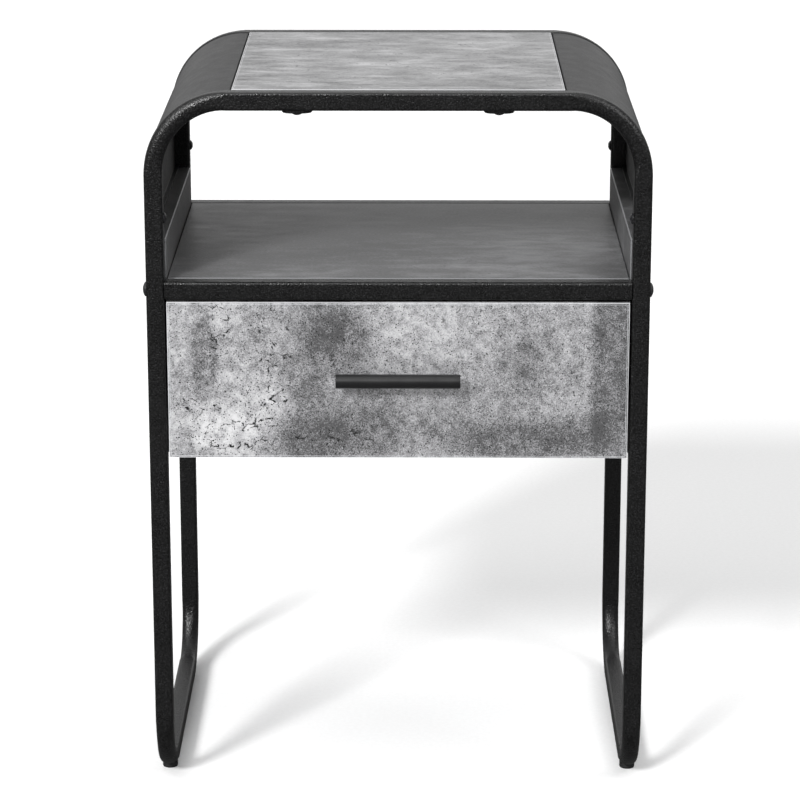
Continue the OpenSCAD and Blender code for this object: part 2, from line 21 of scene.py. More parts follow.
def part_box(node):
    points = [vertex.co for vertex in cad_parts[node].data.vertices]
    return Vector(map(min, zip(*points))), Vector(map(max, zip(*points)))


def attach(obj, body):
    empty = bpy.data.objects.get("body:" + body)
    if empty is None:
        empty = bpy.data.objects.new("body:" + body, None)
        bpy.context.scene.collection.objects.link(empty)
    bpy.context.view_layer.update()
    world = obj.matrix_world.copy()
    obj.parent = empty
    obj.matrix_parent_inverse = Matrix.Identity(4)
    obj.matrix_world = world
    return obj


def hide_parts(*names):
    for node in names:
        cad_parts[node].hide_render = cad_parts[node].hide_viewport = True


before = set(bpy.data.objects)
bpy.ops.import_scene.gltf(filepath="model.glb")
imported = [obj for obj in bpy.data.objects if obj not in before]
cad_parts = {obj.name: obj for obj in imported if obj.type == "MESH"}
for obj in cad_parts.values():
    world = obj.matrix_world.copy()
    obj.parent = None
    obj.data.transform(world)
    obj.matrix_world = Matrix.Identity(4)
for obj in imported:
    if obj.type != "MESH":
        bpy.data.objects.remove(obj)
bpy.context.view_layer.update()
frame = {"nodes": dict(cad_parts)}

LOG = logging.getLogger("side_table")
MM = 0.001
# two places closer than this are one, and two directions this alike are parallel
NEAR = 0.1 * MM
PARALLEL = 0.99
# an edge that rises less than this share of its length is level
LEVEL = 0.01
# refraction index of the clear skin on paint, lacquer and melamine
SKIN_IOR = 1.5
Colour = tuple[float, float, float, float]
Triple = tuple[float, float, float]
Span = tuple[float, float]
Tree = bpy.types.NodeTree
Socket = bpy.types.NodeSocket


class Slot(Enum):
    """The record's material slots."""

    TUBE = "powder_coated_tube"
    SHEET = "powder_coated_sheet"
    CONCRETE = "concrete_decor_board"
    SHELF = "shelf_decor_board"
    DRAWER_BOX = "drawer_box_board"
    FASTENERS = "black_fasteners"
    HANDLE = "handle_black"
    ZINC = "zinc_fittings"
    STEEL = "bright_steel"
    BEECH = "beech_dowels"
    PLASTIC = "black_plastic"


class Body(Enum):
    """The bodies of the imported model."""

    FRAME = "frame"
    DRAWER = "drawer"


class Axis(Enum):
    """A main direction, as a unit vector."""

    X = (1.0, 0.0, 0.0)
    Y = (0.0, 1.0, 0.0)
    Z = (0.0, 0.0, 1.0)


class Element(Enum):
    """What an edit-mode selection is made of."""

    VERT = "VERT"
    EDGE = "EDGE"
    FACE = "FACE"


def linear(code: str) -> Colour:
    """Turns an sRGB hex colour into the linear colour that a shader takes.

    Args:
        code: the colour as "#rrggbb".

    Returns:
        Red, green, blue and alpha, linear, with alpha 1.
    """
    parts = [int(code[i : i + 2], 16) / 255 for i in (1, 3, 5)]
    red, green, blue = (
        c / 12.92 if c <= 0.04045 else ((c + 0.055) / 1.055) ** 2.4 for c in parts
    )
    return (red, green, blue, 1.0)


def per_metre(size_mm: float) -> float:
    """Returns the texture scale whose cells are size_mm wide on metre coordinates."""
    return 1000.0 / size_mm


def feed(tree: Tree, socket: Socket, value: Any) -> None:
    """Sets an input to a value, or links it.

    Args:
        tree: the node tree.
        socket: the input.
        value: a number, a colour or another node's output socket.
    """
    if isinstance(value, Socket):
        tree.links.new(value, socket)
    else:
        socket.default_value = value


def add(
    tree: Tree, kind: str, inputs: Optional[dict[Any, Any]] = None, **settings: Any
) -> bpy.types.Node:
    """Adds a node, sets it and links it.

    Args:
        tree: the node tree.
        kind: the node type without its ShaderNode prefix.
        inputs: a value, or an output socket to link, for each input by name or number.
        settings: the node's own properties.

    Returns:
        The node.
    """
    node = tree.nodes.new("ShaderNode" + kind)
    for name, value in settings.items():
        setattr(node, name, value)
    for key, value in (inputs or {}).items():
        feed(tree, node.inputs[key], value)
    return node


def maths(tree: Tree, operation: str, *values: Any, clamp: bool = False) -> Socket:
    """Adds one step of arithmetic.

    Args:
        tree: the node tree.
        operation: the Math node's operation.
        values: numbers or sockets, in order.
        clamp: whether the result is kept from 0 to 1.

    Returns:
        The result's socket.
    """
    node = add(
        tree, "Math", dict(enumerate(values)), operation=operation, use_clamp=clamp
    )
    return node.outputs[0]


def greatest(tree: Tree, values: Iterable[Socket]) -> Socket:
    """Adds the steps that pick the greatest of several numbers."""
    return reduce(lambda best, new: maths(tree, "MAXIMUM", best, new), values)


def blend_colours(tree: Tree, share: Any, first: Any, second: Any) -> Socket:
    """Mixes two colours.

    Args:
        tree: the node tree.
        share: how much of the second colour shows.
        first: the first colour or socket.
        second: the second colour or socket.

    Returns:
        The mixed colour's socket.
    """
    node = add(tree, "Mix", data_type="RGBA")
    for name, value in (("Factor", share), ("A", first), ("B", second)):
        kind = "VALUE" if name == "Factor" else "RGBA"
        socket = next(s for s in node.inputs if s.name == name and s.type == kind)
        feed(tree, socket, value)
    return next(s for s in node.outputs if s.type == "RGBA")


def noise(
    tree: Tree,
    place: Socket,
    size_mm: float,
    detail: float,
    rough: float = 0.5,
    distortion: float = 0.0,
    output: str = "Fac",
) -> Socket:
    """Adds one layer of cloudy noise.

    Args:
        tree: the node tree.
        place: the coordinates that it is read at.
        size_mm: the size of its largest blots.
        detail: how many finer layers it has.
        rough: how strong these are.
        distortion: how much it is stirred.
        output: "Fac" for a number from 0 to 1, or "Color" for three of them.

    Returns:
        The noise's socket.
    """
    inputs = {
        "Vector": place,
        "Scale": per_metre(size_mm),
        "Detail": detail,
        "Roughness": rough,
        "Distortion": distortion,
    }
    return add(tree, "TexNoise", inputs).outputs[output]


def rescale(
    tree: Tree, value: Socket, source: Span, target: Span = (0.0, 1.0), **settings: Any
) -> Socket:
    """Maps one span of numbers onto another, and keeps the result inside it.

    Args:
        tree: the node tree.
        value: the number.
        source: the span that it comes from.
        target: the span that it goes to.
        settings: the Map Range node's own properties.

    Returns:
        The result's socket.
    """
    inputs = {
        "Value": value,
        "From Min": source[0],
        "From Max": source[1],
        "To Min": target[0],
        "To Max": target[1],
    }
    return add(tree, "MapRange", inputs, **settings).outputs["Result"]


def tint(tree: Tree, value: Socket, stops: Sequence[tuple[float, Colour]]) -> Socket:
    """Turns a number into a colour by a ramp.

    Args:
        tree: the node tree.
        value: the number.
        stops: a place from 0 to 1 and a colour for each stop, in order.

    Returns:
        The colour's socket.
    """
    node = add(tree, "ValToRGB", {"Fac": value})
    elements = node.color_ramp.elements
    while len(elements) < len(stops):
        elements.new(1.0)
    for element, (place, colour) in zip(elements, stops):
        element.position = place
        element.color = colour
    return node.outputs["Color"]


def stir(tree: Tree, place: Socket, wave_mm: float, swing_mm: float) -> Socket:
    """Pushes coordinates about, so that a pattern read at them gets ragged.

    Args:
        tree: the node tree.
        place: the coordinates.
        wave_mm: the size of the swirls.
        swing_mm: how far they push.

    Returns:
        The stirred coordinates.
    """
    swirl = noise(tree, place, wave_mm, 3.0, output="Color")
    return add(
        tree,
        "VectorMath",
        {0: swirl, 1: (swing_mm * MM,) * 3, 2: place},
        operation="MULTIPLY_ADD",
    ).outputs["Vector"]


@dataclass(frozen=True)
class Coords:
    """Where a pattern is read from, with its own centre and stretch."""

    centre: Triple = (0.0, 0.0, 0.0)
    scale: Triple = (1.0, 1.0, 1.0)

    def build(self, tree: Tree) -> Socket:
        """Adds the coordinate nodes.

        Args:
            tree: the material's node tree.

        Returns:
            Coordinates that are centred on this place and stretched.
        """
        inputs = {
            "Vector": add(tree, "TexCoord").outputs["Object"],
            "Location": tuple(-c * s for c, s in zip(self.centre, self.scale)),
            "Scale": self.scale,
        }
        return add(tree, "Mapping", inputs).outputs["Vector"]


class Workpiece:
    """One mesh that is shaped with edit-mode operators, then finished and dressed."""

    def __init__(self, name: str) -> None:
        """Takes the primitive that was just added and puts its place into its mesh.

        Args:
            name: the finished piece's name.
        """
        self.object = bpy.context.active_object
        self.object.name = name
        self.object.data.name = name
        bpy.ops.object.transform_apply(location=True, rotation=True, scale=True)

    @staticmethod
    def clear() -> None:
        """Deselects everything, so that an operator acts on one piece alone."""
        if bpy.context.mode != "OBJECT":
            bpy.ops.object.mode_set(mode="OBJECT")
        bpy.ops.object.select_all(action="DESELECT")

    def choose(self) -> None:
        """Selects this piece alone and makes it the active one."""
        self.clear()
        self.object.select_set(True)
        bpy.context.view_layer.objects.active = self.object

    @classmethod
    def block(cls, name: str, low: Vector, high: Vector) -> "Workpiece":
        """Adds a block between two corners, as the start of a board or bar.

        Args:
            name: the piece's name.
            low: the lowest corner.
            high: the highest corner.

        Returns:
            The workpiece.
        """
        cls.clear()
        bpy.ops.mesh.primitive_cube_add(
            size=1.0, location=(low + high) / 2, scale=high - low
        )
        return cls(name)

    @classmethod
    def rod(
        cls, name: str, start: Vector, end: Vector, radius: float, sides: int
    ) -> "Workpiece":
        """Adds a rod between two points, as the start of a turned part.

        Args:
            name: the piece's name.
            start: the middle of the first end.
            end: the middle of the other end.
            radius: the rod's radius.
            sides: how many flats go round it.

        Returns:
            The workpiece.
        """
        cls.clear()
        way = end - start
        bpy.ops.mesh.primitive_cylinder_add(
            vertices=sides,
            radius=radius,
            depth=way.length,
            location=(start + end) / 2,
            rotation=way.to_track_quat("Z", "Y").to_euler(),
        )
        return cls(name)

    @classmethod
    def plate(
        cls, name: str, centre: Vector, width: float, normal: Vector
    ) -> "Workpiece":
        """Adds a square face, as the start of a drawn section.

        Args:
            name: the piece's name.
            centre: the face's middle.
            width: its side.
            normal: the way that it faces.

        Returns:
            The workpiece.
        """
        cls.clear()
        bpy.ops.mesh.primitive_plane_add(
            size=width,
            location=centre,
            rotation=normal.to_track_quat("Z", "Y").to_euler(),
        )
        return cls(name)

    def pick(
        self, element: Element, test: Callable[[Vector, Vector], bool]
    ) -> "Workpiece":
        """Selects vertices, edges or faces by place and direction, in edit mode.

        Args:
            element: what to select.
            test: gets an element's middle, and its normal or an edge's direction, and
                says whether it is wanted.

        Returns:
            This workpiece.
        """
        self.choose()
        bpy.ops.object.mode_set(mode="EDIT")
        bpy.ops.mesh.select_mode(type=element.value)
        bpy.ops.mesh.select_all(action="DESELECT")
        mesh = bmesh.from_edit_mesh(self.object.data)
        if element is Element.VERT:
            wanted = [v for v in mesh.verts if test(v.co, v.normal)]
        elif element is Element.EDGE:
            wanted = [
                e
                for e in mesh.edges
                if test(
                    (e.verts[0].co + e.verts[1].co) / 2,
                    (e.verts[1].co - e.verts[0].co).normalized(),
                )
            ]
        else:
            wanted = [f for f in mesh.faces if test(f.calc_center_median(), f.normal)]
        for item in wanted:
            item.select = True
        mesh.select_flush_mode()
        bmesh.update_edit_mesh(self.object.data)
        return self

    def bevel(
        self, width: float, segments: int, affect: Element = Element.EDGE
    ) -> "Workpiece":
        """Rounds what is selected.

        Args:
            width: how far the round reaches.
            segments: how many strips make it.
            affect: edges or vertices.

        Returns:
            This workpiece.
        """
        bpy.ops.mesh.bevel(
            offset=width,
            segments=segments,
            affect="VERTICES" if affect is Element.VERT else "EDGES",
            clamp_overlap=True,
        )
        return self

    def inset(self, thickness: float, depth: float = 0.0) -> "Workpiece":
        """Insets the selected faces, and moves them along their normal by depth."""
        bpy.ops.mesh.inset(thickness=thickness, depth=depth)
        return self

    def extrude(self, way: Vector) -> "Workpiece":
        """Draws the selected faces out along a vector."""
        bpy.ops.mesh.extrude_region_move(TRANSFORM_OT_translate={"value": way})
        return self

    def extrude_edges(self, way: Vector) -> "Workpiece":
        """Draws the selected edges out along a vector, as a strip of sheet."""
        bpy.ops.mesh.extrude_edges_move(TRANSFORM_OT_translate={"value": way})
        return self

    def spin(
        self, centre: Vector, axis: Vector, angle: float, steps: int
    ) -> "Workpiece":
        """Draws what is selected round a bend.

        Args:
            centre: the bend's middle.
            axis: its axis, by the right-hand rule.
            angle: how far it turns, in radians.
            steps: how many strips make it.

        Returns:
            This workpiece.
        """
        # the operator turns by the left hand, so the axis is reversed
        bpy.ops.mesh.spin(steps=steps, angle=angle, center=centre, axis=-axis)
        return self

    def modify(self, kind: str, **settings: Any) -> "Workpiece":
        """Adds a modifier, sets it and applies it.

        Args:
            kind: the modifier's type.
            settings: its properties.

        Returns:
            This workpiece.
        """
        self.choose()
        modifier = self.object.modifiers.new(kind.lower(), kind)
        for name, value in settings.items():
            setattr(modifier, name, value)
        bpy.ops.object.modifier_apply(modifier=modifier.name)
        return self

    def close(self) -> "Workpiece":
        """Merges doubled vertices and turns every face outwards.

        Returns:
            This workpiece.
        """
        self.pick(Element.VERT, lambda place, normal: True)
        bpy.ops.mesh.remove_doubles(threshold=0.002 * MM)
        bpy.ops.mesh.normals_make_consistent(inside=False)
        return self

    def copy(self, name: str, move: Vector) -> "Workpiece":
        """Copies the piece, with a mesh of its own, to another place.

        Args:
            name: the copy's name.
            move: how far the copy is moved.

        Returns:
            The copy.
        """
        self.choose()
        bpy.ops.object.duplicate(linked=False)
        bpy.ops.transform.translate(value=move)
        return Workpiece(name)

    def mirror_x(self, name: str) -> "Workpiece":
        """Copies the piece to the other side of the table's middle plane.

        Args:
            name: the copy's name.

        Returns:
            The copy, with its faces turned outwards again.
        """
        self.choose()
        bpy.ops.object.duplicate(linked=False)
        bpy.context.active_object.scale = (-1.0, 1.0, 1.0)
        return Workpiece(name).close()

    def join(self, others: Sequence["Workpiece"]) -> "Workpiece":
        """Joins other workpieces into this one.

        Args:
            others: the pieces that become part of this one.

        Returns:
            This workpiece.
        """
        self.choose()
        for piece in others:
            piece.object.select_set(True)
        bpy.ops.object.join()
        return self

    def finish(
        self,
        slot: Slot,
        body: Body,
        finish: "Finish",
        node: str,
        smooth_deg: float = 35.0,
    ) -> None:
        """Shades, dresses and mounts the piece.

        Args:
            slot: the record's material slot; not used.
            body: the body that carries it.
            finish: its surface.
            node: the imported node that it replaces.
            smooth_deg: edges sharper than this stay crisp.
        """
        self.choose()
        bpy.ops.object.shade_smooth_by_angle(angle=math.radians(smooth_deg))
        self.modify("WEIGHTED_NORMAL", keep_sharp=True, weight=60)
        self.object.data.materials.clear()
        self.object.data.materials.append(finish.material())
        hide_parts(node)
        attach(self.object, body.value)
        LOG.info("%s: %d faces", self.object.name, len(self.object.data.polygons))


class Finish:
    """A surface finish, which makes its material once and hands it out after that."""

    name: str

    def material(self) -> bpy.types.Material:
        """Gives the finish's material, made at its first use.

        Returns:
            The material.
        """
        found = bpy.data.materials.get(self.name)
        if found is None:
            found = bpy.data.materials.new(self.name)
            found.use_nodes = True
            tree = found.node_tree
            self.shade(tree, tree.nodes["Principled BSDF"])
        return found

    def shade(self, tree: Tree, shader: bpy.types.Node) -> None:
        """Builds the nodes; each finish has its own.

        Args:
            tree: the material's node tree.
            shader: its principled shader.
        """
        raise NotImplementedError

    def wire(
        self,
        tree: Tree,
        shader: bpy.types.Node,
        colour: Any,
        rough: Any,
        height: Socket,
        relief_mm: float,
        strength: float,
    ) -> None:
        """Wires colour, roughness and relief into the shader.

        Args:
            tree: the material's node tree.
            shader: its principled shader.
            colour: the base colour.
            rough: the roughness.
            height: the relief, from 0 to 1.
            relief_mm: how deep the relief is.
            strength: how much of it shows.
        """
        relief = {"Height": height, "Distance": relief_mm * MM, "Strength": strength}
        bump = add(tree, "Bump", relief)
        feed(tree, shader.inputs["Base Color"], colour)
        feed(tree, shader.inputs["Roughness"], rough)
        feed(tree, shader.inputs["Normal"], bump.outputs["Normal"])


@dataclass(frozen=True)
class PowderCoat(Finish):
    """Black polyester powder coat: melted grains leave a fine, hard, pebbled skin.

    The eye sees near-black with a soft sheen that breaks up into small sparkles.
    """

    name: str
    pigment: str
    dust: str
    grain_mm: float
    relief_mm: float
    roughness: Span
    specular: float
    flow_mm: float = 14.0

    def shade(self, tree: Tree, shader: bpy.types.Node) -> None:
        """Builds the pebbled skin.

        Args:
            tree: the material's node tree.
            shader: its principled shader.
        """
        place = Coords().build(tree)
        # real grit is about 0.3 mm; it is drawn coarser so that it shows
        grain = noise(tree, place, self.grain_mm, 1.5, 0.6)
        cells = add(
            tree,
            "TexVoronoi",
            {"Vector": place, "Scale": per_metre(self.grain_mm * 1.3)},
            feature="SMOOTH_F1",
        )
        hollows = maths(tree, "MULTIPLY", cells.outputs["Distance"], 0.6)
        pebble = maths(tree, "SUBTRACT", grain, hollows)
        flow = noise(tree, place, self.flow_mm, 2.0)
        fine_sheen = maths(tree, "MULTIPLY", grain, 0.7)
        wide_sheen = maths(tree, "MULTIPLY", flow, 0.3)
        sheen = maths(tree, "ADD", fine_sheen, wide_sheen)
        specks = [(0.48, linear(self.pigment)), (0.68, linear(self.dust))]
        shader.inputs["IOR"].default_value = SKIN_IOR
        shader.inputs["Specular IOR Level"].default_value = self.specular
        self.wire(
            tree,
            shader,
            tint(tree, grain, specks),
            rescale(tree, sheen, (0.35, 0.65), self.roughness),
            pebble,
            self.relief_mm,
            1.0,
        )


@dataclass(frozen=True)
class Cloud:
    """One darker or lighter cloud of a decor sheet.

    Its centre and half sizes are in millimetres along X, Y and Z, and strength is how
    much it darkens, or lightens below zero. A low softness gives it a firm edge. On
    most decors a cloud is print; on the shelf the clouds are painted shade and painted
    light.
    """

    centre: Triple
    reach: Triple
    strength: float
    softness: float = 0.7


@dataclass(frozen=True)
class ConcreteDecor(Finish):
    """Printed concrete decor, pressed on board under a semi-matt melamine skin.

    The eye sees soft grey clouds, a fine sandy mottle, dark pits and short hairline
    cracks, with a thin pale line on the arris, partly the trimmed edge band and partly
    painted highlight.
    """

    name: str
    dark: str
    middle: str
    light: str
    pit: str
    roughness: Span
    cloud_mm: float = 95.0
    mottle_mm: float = 17.0
    sand_mm: float = 1.15
    cloud_share: float = 0.3
    mottle_share: float = 0.65
    sand_share: float = 0.95
    pit_mm: float = 5.0
    pit_share: float = 0.5
    crack_share: float = 0.42
    streak: float = 1.0
    seed: float = 0.0
    contrast: float = 1.0
    # print clouds; the shelf's clouds are painted shade and painted light
    clouds: tuple[Cloud, ...] = ()
    cracked: tuple[Cloud, ...] = ()
    # the arris line's colour: partly the trimmed edge band's paler tone, partly painted
    # highlight
    arris: str = "#c9cacc"

    def field(
        self,
        tree: Tree,
        size_mm: float,
        detail: float,
        rough: float,
        distortion: float = 0.0,
        shift: float = 0.0,
    ) -> Socket:
        """Adds one layer of this decor's own noise, drawn out along the streaks.

        Args:
            tree: the material's node tree.
            size_mm: the size of its largest blots.
            detail: how many finer layers it has.
            rough: how strong these are.
            distortion: how much it is stirred.
            shift: moves it, so that layers don't repeat each other.

        Returns:
            The noise, from 0 to 1.
        """
        place = Coords(
            centre=(self.seed + shift, shift, self.seed),
            scale=(1.0 / self.streak, 1.0, 1.0),
        ).build(tree)
        return noise(tree, place, size_mm, detail, rough, distortion)

    def over(self, tree: Tree, layer: Socket, level: float, gain: float) -> Socket:
        """Returns how far a noise rises above a level, from 0 to 1, times a gain."""
        rise = maths(tree, "SUBTRACT", layer, level, clamp=True)
        return maths(tree, "MULTIPLY", rise, gain)

    def patch(self, tree: Tree, cloud: Cloud, ragged: Socket) -> Socket:
        """Adds one soft cloud with a ragged edge.

        Args:
            tree: the material's node tree.
            cloud: its place, size and strength.
            ragged: the noise that breaks up its edge.

        Returns:
            The cloud's effect on the tone.
        """
        place = Coords(
            centre=tuple(c * MM for c in cloud.centre),
            scale=tuple(1.0 / (r * MM) for r in cloud.reach),
        ).build(tree)
        ball = add(tree, "TexGradient", {"Vector": place}, gradient_type="SPHERICAL")
        centred = maths(tree, "SUBTRACT", ragged, 0.5)
        swing = maths(tree, "MULTIPLY", centred, 0.2 + cloud.softness)
        depth = maths(tree, "ADD", ball.outputs["Fac"], swing)
        return rescale(
            tree,
            depth,
            (0.05, 0.05 + cloud.softness),
            (0.0, cloud.strength),
            interpolation_type="SMOOTHSTEP",
        )

    def tone(self, tree: Tree, mottle: Socket, sand: Socket) -> Socket:
        """Builds the decor's tone, 0.5 for the middle one; on the shelf its clouds are
        painted shade and painted light.

        Args:
            tree: the material's node tree.
            mottle: the middle layer of noise.
            sand: the finest layer of noise.

        Returns:
            The tone.
        """
        cloud = self.field(tree, self.cloud_mm, 5.0, 0.55, 0.6)
        tone = 0.5
        for layer, weight in (
            (cloud, self.cloud_share),
            (mottle, self.mottle_share),
        ):
            centred = maths(tree, "SUBTRACT", layer, 0.5)
            step = maths(tree, "MULTIPLY", centred, weight)
            tone = maths(tree, "ADD", tone, step)
        # the clouds darken or lighten the tone; on the shelf they are painted shade and
        # painted light
        for spot in self.clouds:
            tone = maths(tree, "SUBTRACT", tone, self.patch(tree, spot, mottle))
        # the sand stands out in the dark clouds and fades in the pale ones
        grit = rescale(
            tree, tone, (0.42, 0.62), (self.sand_share, 0.45 * self.sand_share)
        )
        step = maths(tree, "MULTIPLY", maths(tree, "SUBTRACT", sand, 0.5), grit)
        return maths(tree, "ADD", tone, step)

    def shade(self, tree: Tree, shader: bpy.types.Node) -> None:
        """Builds the printed sheet.

        Args:
            tree: the material's node tree.
            shader: its principled shader.
        """
        mottle = self.field(tree, self.mottle_mm, 6.0, 0.66, 0.3, 1.7)
        sand = self.field(tree, self.sand_mm, 2.0, 0.75, 0.0, 3.1)
        spread = 0.27 / self.contrast
        stops = [
            (0.5 - 1.1 * spread, linear(self.dark)),
            (0.5, linear(self.middle)),
            (0.5 + spread, linear(self.light)),
        ]
        base = tint(tree, self.tone(tree, mottle, sand), stops)
        cracks = self.cracks(tree, mottle)
        flaws = maths(tree, "MAXIMUM", self.pits(tree), cracks, clamp=True)
        printed = blend_colours(tree, flaws, base, linear(self.pit))
        # the pale arris line is partly the trimmed edge band and partly painted
        # highlight
        arris = self.pale_arris_and_painted_highlight(tree)
        shader.inputs["IOR"].default_value = SKIN_IOR
        self.wire(
            tree,
            shader,
            blend_colours(tree, arris, printed, linear(self.arris)),
            rescale(tree, mottle, (0.3, 0.7), self.roughness),
            maths(tree, "SUBTRACT", sand, maths(tree, "MULTIPLY", flaws, 1.5)),
            0.03,
            0.6,
        )

    def pits(self, tree: Tree) -> Socket:
        """Adds small dark air holes of mixed sizes.

        Args:
            tree: the material's node tree.

        Returns:
            The holes, 1 inside and 0 outside.
        """
        warp = noise(tree, Coords().build(tree), 2.2, 3.0, output="Color")
        place = Coords(centre=(self.seed, 0.0, 0.0)).build(tree)
        stirred = add(
            tree,
            "VectorMath",
            {0: warp, 1: (1.8 * MM,) * 3, 2: place},
            operation="MULTIPLY_ADD",
        )
        holes = []
        # spacing as a share of pit_mm, and radius as a share of the spacing
        for step, radius in ((0.5, 0.24), (1.0, 0.16), (2.8, 0.1)):
            size = self.pit_mm * step
            dots = add(
                tree,
                "TexVoronoi",
                {"Vector": stirred.outputs["Vector"], "Scale": per_metre(size)},
            )
            where = self.field(tree, 34.0, 3.0, 0.6, 0.0, size * 0.01)
            reach = self.over(tree, where, 1.0 - self.pit_share, radius * 7.0)
            reach = maths(tree, "MINIMUM", reach, radius)
            edge = maths(tree, "SUBTRACT", reach, dots.outputs["Distance"])
            holes.append(maths(tree, "MULTIPLY", edge, 14.0, clamp=True))
        return greatest(tree, holes)

    def cracks(self, tree: Tree, mottle: Socket) -> Socket:
        """Adds short hairline cracks where the cracked patches lie.

        Args:
            tree: the material's node tree.
            mottle: the noise that breaks them up.

        Returns:
            The cracks, 1 inside and 0 outside.
        """
        lines = []
        # cell size and half width in millimetres, and a shift
        for cell, width, shift in ((34.0, 0.75, 6.3), (12.0, 0.5, 9.1)):
            place = Coords(centre=(self.seed, shift, shift)).build(tree)
            place = stir(tree, place, cell * 0.5, cell * 0.5)
            place = stir(tree, place, 3.4, 3.4)
            edges = add(
                tree,
                "TexVoronoi",
                {"Vector": place, "Scale": per_metre(cell)},
                feature="DISTANCE_TO_EDGE",
            )
            # a crack opens and closes along its way, and stops in places
            along = self.field(tree, 7.5, 4.0, 0.7, 0.0, shift + 2.0)
            gape = self.over(tree, along, 1.0 - self.crack_share, 16.0 * width / cell)
            gape = maths(tree, "MINIMUM", gape, width / cell)
            depth = maths(tree, "SUBTRACT", gape, edges.outputs["Distance"])
            lines.append(maths(tree, "MULTIPLY", depth, cell / 0.35, clamp=True))
        cracks = greatest(tree, lines)
        if not self.cracked:
            return cracks
        area = greatest(tree, [self.patch(tree, c, mottle) for c in self.cracked])
        return maths(tree, "MULTIPLY", cracks, area, clamp=True)

    def pale_arris_and_painted_highlight(self, tree: Tree) -> Socket:
        """Marks the trimmed arris, the only part that faces two ways at once.

        Args:
            tree: the material's node tree.

        Returns:
            1 on the arris and 0 on the flat faces.
        """
        geometry = add(tree, "NewGeometry")
        split = add(tree, "SeparateXYZ", {0: geometry.outputs["True Normal"]})
        widest = greatest(tree, [maths(tree, "ABSOLUTE", s) for s in split.outputs])
        return rescale(tree, widest, (0.99, 0.90))


@dataclass(frozen=True)
class Lacquer(Finish):
    """Smooth black finish over metal or moulded plastic.

    The eye sees even black with a soft highlight, faint handling marks and, on moulded
    parts, a fine spark texture.
    """

    name: str
    colour: str
    roughness: Span
    relief_mm: float
    grain_mm: float

    def shade(self, tree: Tree, shader: bpy.types.Node) -> None:
        """Builds the even skin.

        Args:
            tree: the material's node tree.
            shader: its principled shader.
        """
        place = Coords().build(tree)
        wave = noise(tree, place, self.grain_mm, 3.0)
        marks = noise(tree, place, 11.0, 4.0)
        base = linear(self.colour)
        stops = [
            (at, tuple(gain * c for c in base[:3]) + (1.0,))
            for at, gain in ((0.35, 0.8), (0.65, 1.25))
        ]
        shader.inputs["IOR"].default_value = SKIN_IOR
        self.wire(
            tree,
            shader,
            tint(tree, wave, stops),
            rescale(tree, marks, (0.35, 0.65), self.roughness),
            wave,
            self.relief_mm,
            0.7,
        )


@dataclass(frozen=True)
class ZincPlate(Finish):
    """Bright zinc plate on steel, rolled or turned.

    The eye sees pale metal with fine lines along the rolling and a few dull clouds.
    """

    name: str
    colour: str
    dull: str
    roughness: Span
    line_mm: float = 0.5

    def shade(self, tree: Tree, shader: bpy.types.Node) -> None:
        """Builds the rolled plate.

        Args:
            tree: the material's node tree.
            shader: its principled shader.
        """
        rolled = Coords(scale=(1.0, 0.03, 1.0)).build(tree)
        lines = noise(tree, rolled, self.line_mm, 2.0)
        clouds = noise(tree, Coords().build(tree), 18.0, 4.0)
        both = maths(tree, "MULTIPLY", maths(tree, "ADD", lines, clouds), 0.5)
        stops = [(0.35, linear(self.dull)), (0.6, linear(self.colour))]
        shader.inputs["Metallic"].default_value = 1.0
        self.wire(
            tree,
            shader,
            tint(tree, clouds, stops),
            rescale(tree, both, (0.35, 0.65), self.roughness),
            lines,
            0.01,
            0.5,
        )


@dataclass(frozen=True)
class TurnedBeech(Finish):
    """Beech, turned and fluted for dowels.

    The eye sees warm pale wood with short darker flecks along the grain.
    """

    name: str = "beech_turned"
    pale: str = "#cfa877"
    fleck: str = "#9c7146"

    def shade(self, tree: Tree, shader: bpy.types.Node) -> None:
        """Builds the flecked wood.

        Args:
            tree: the material's node tree.
            shader: its principled shader.
        """
        along = Coords(scale=(0.15, 1.0, 1.0)).build(tree)
        flecks = noise(tree, along, 0.8, 3.0)
        stops = [(0.4, linear(self.pale)), (0.68, linear(self.fleck))]
        self.wire(tree, shader, tint(tree, flecks, stops), 0.62, flecks, 0.02, 0.5)


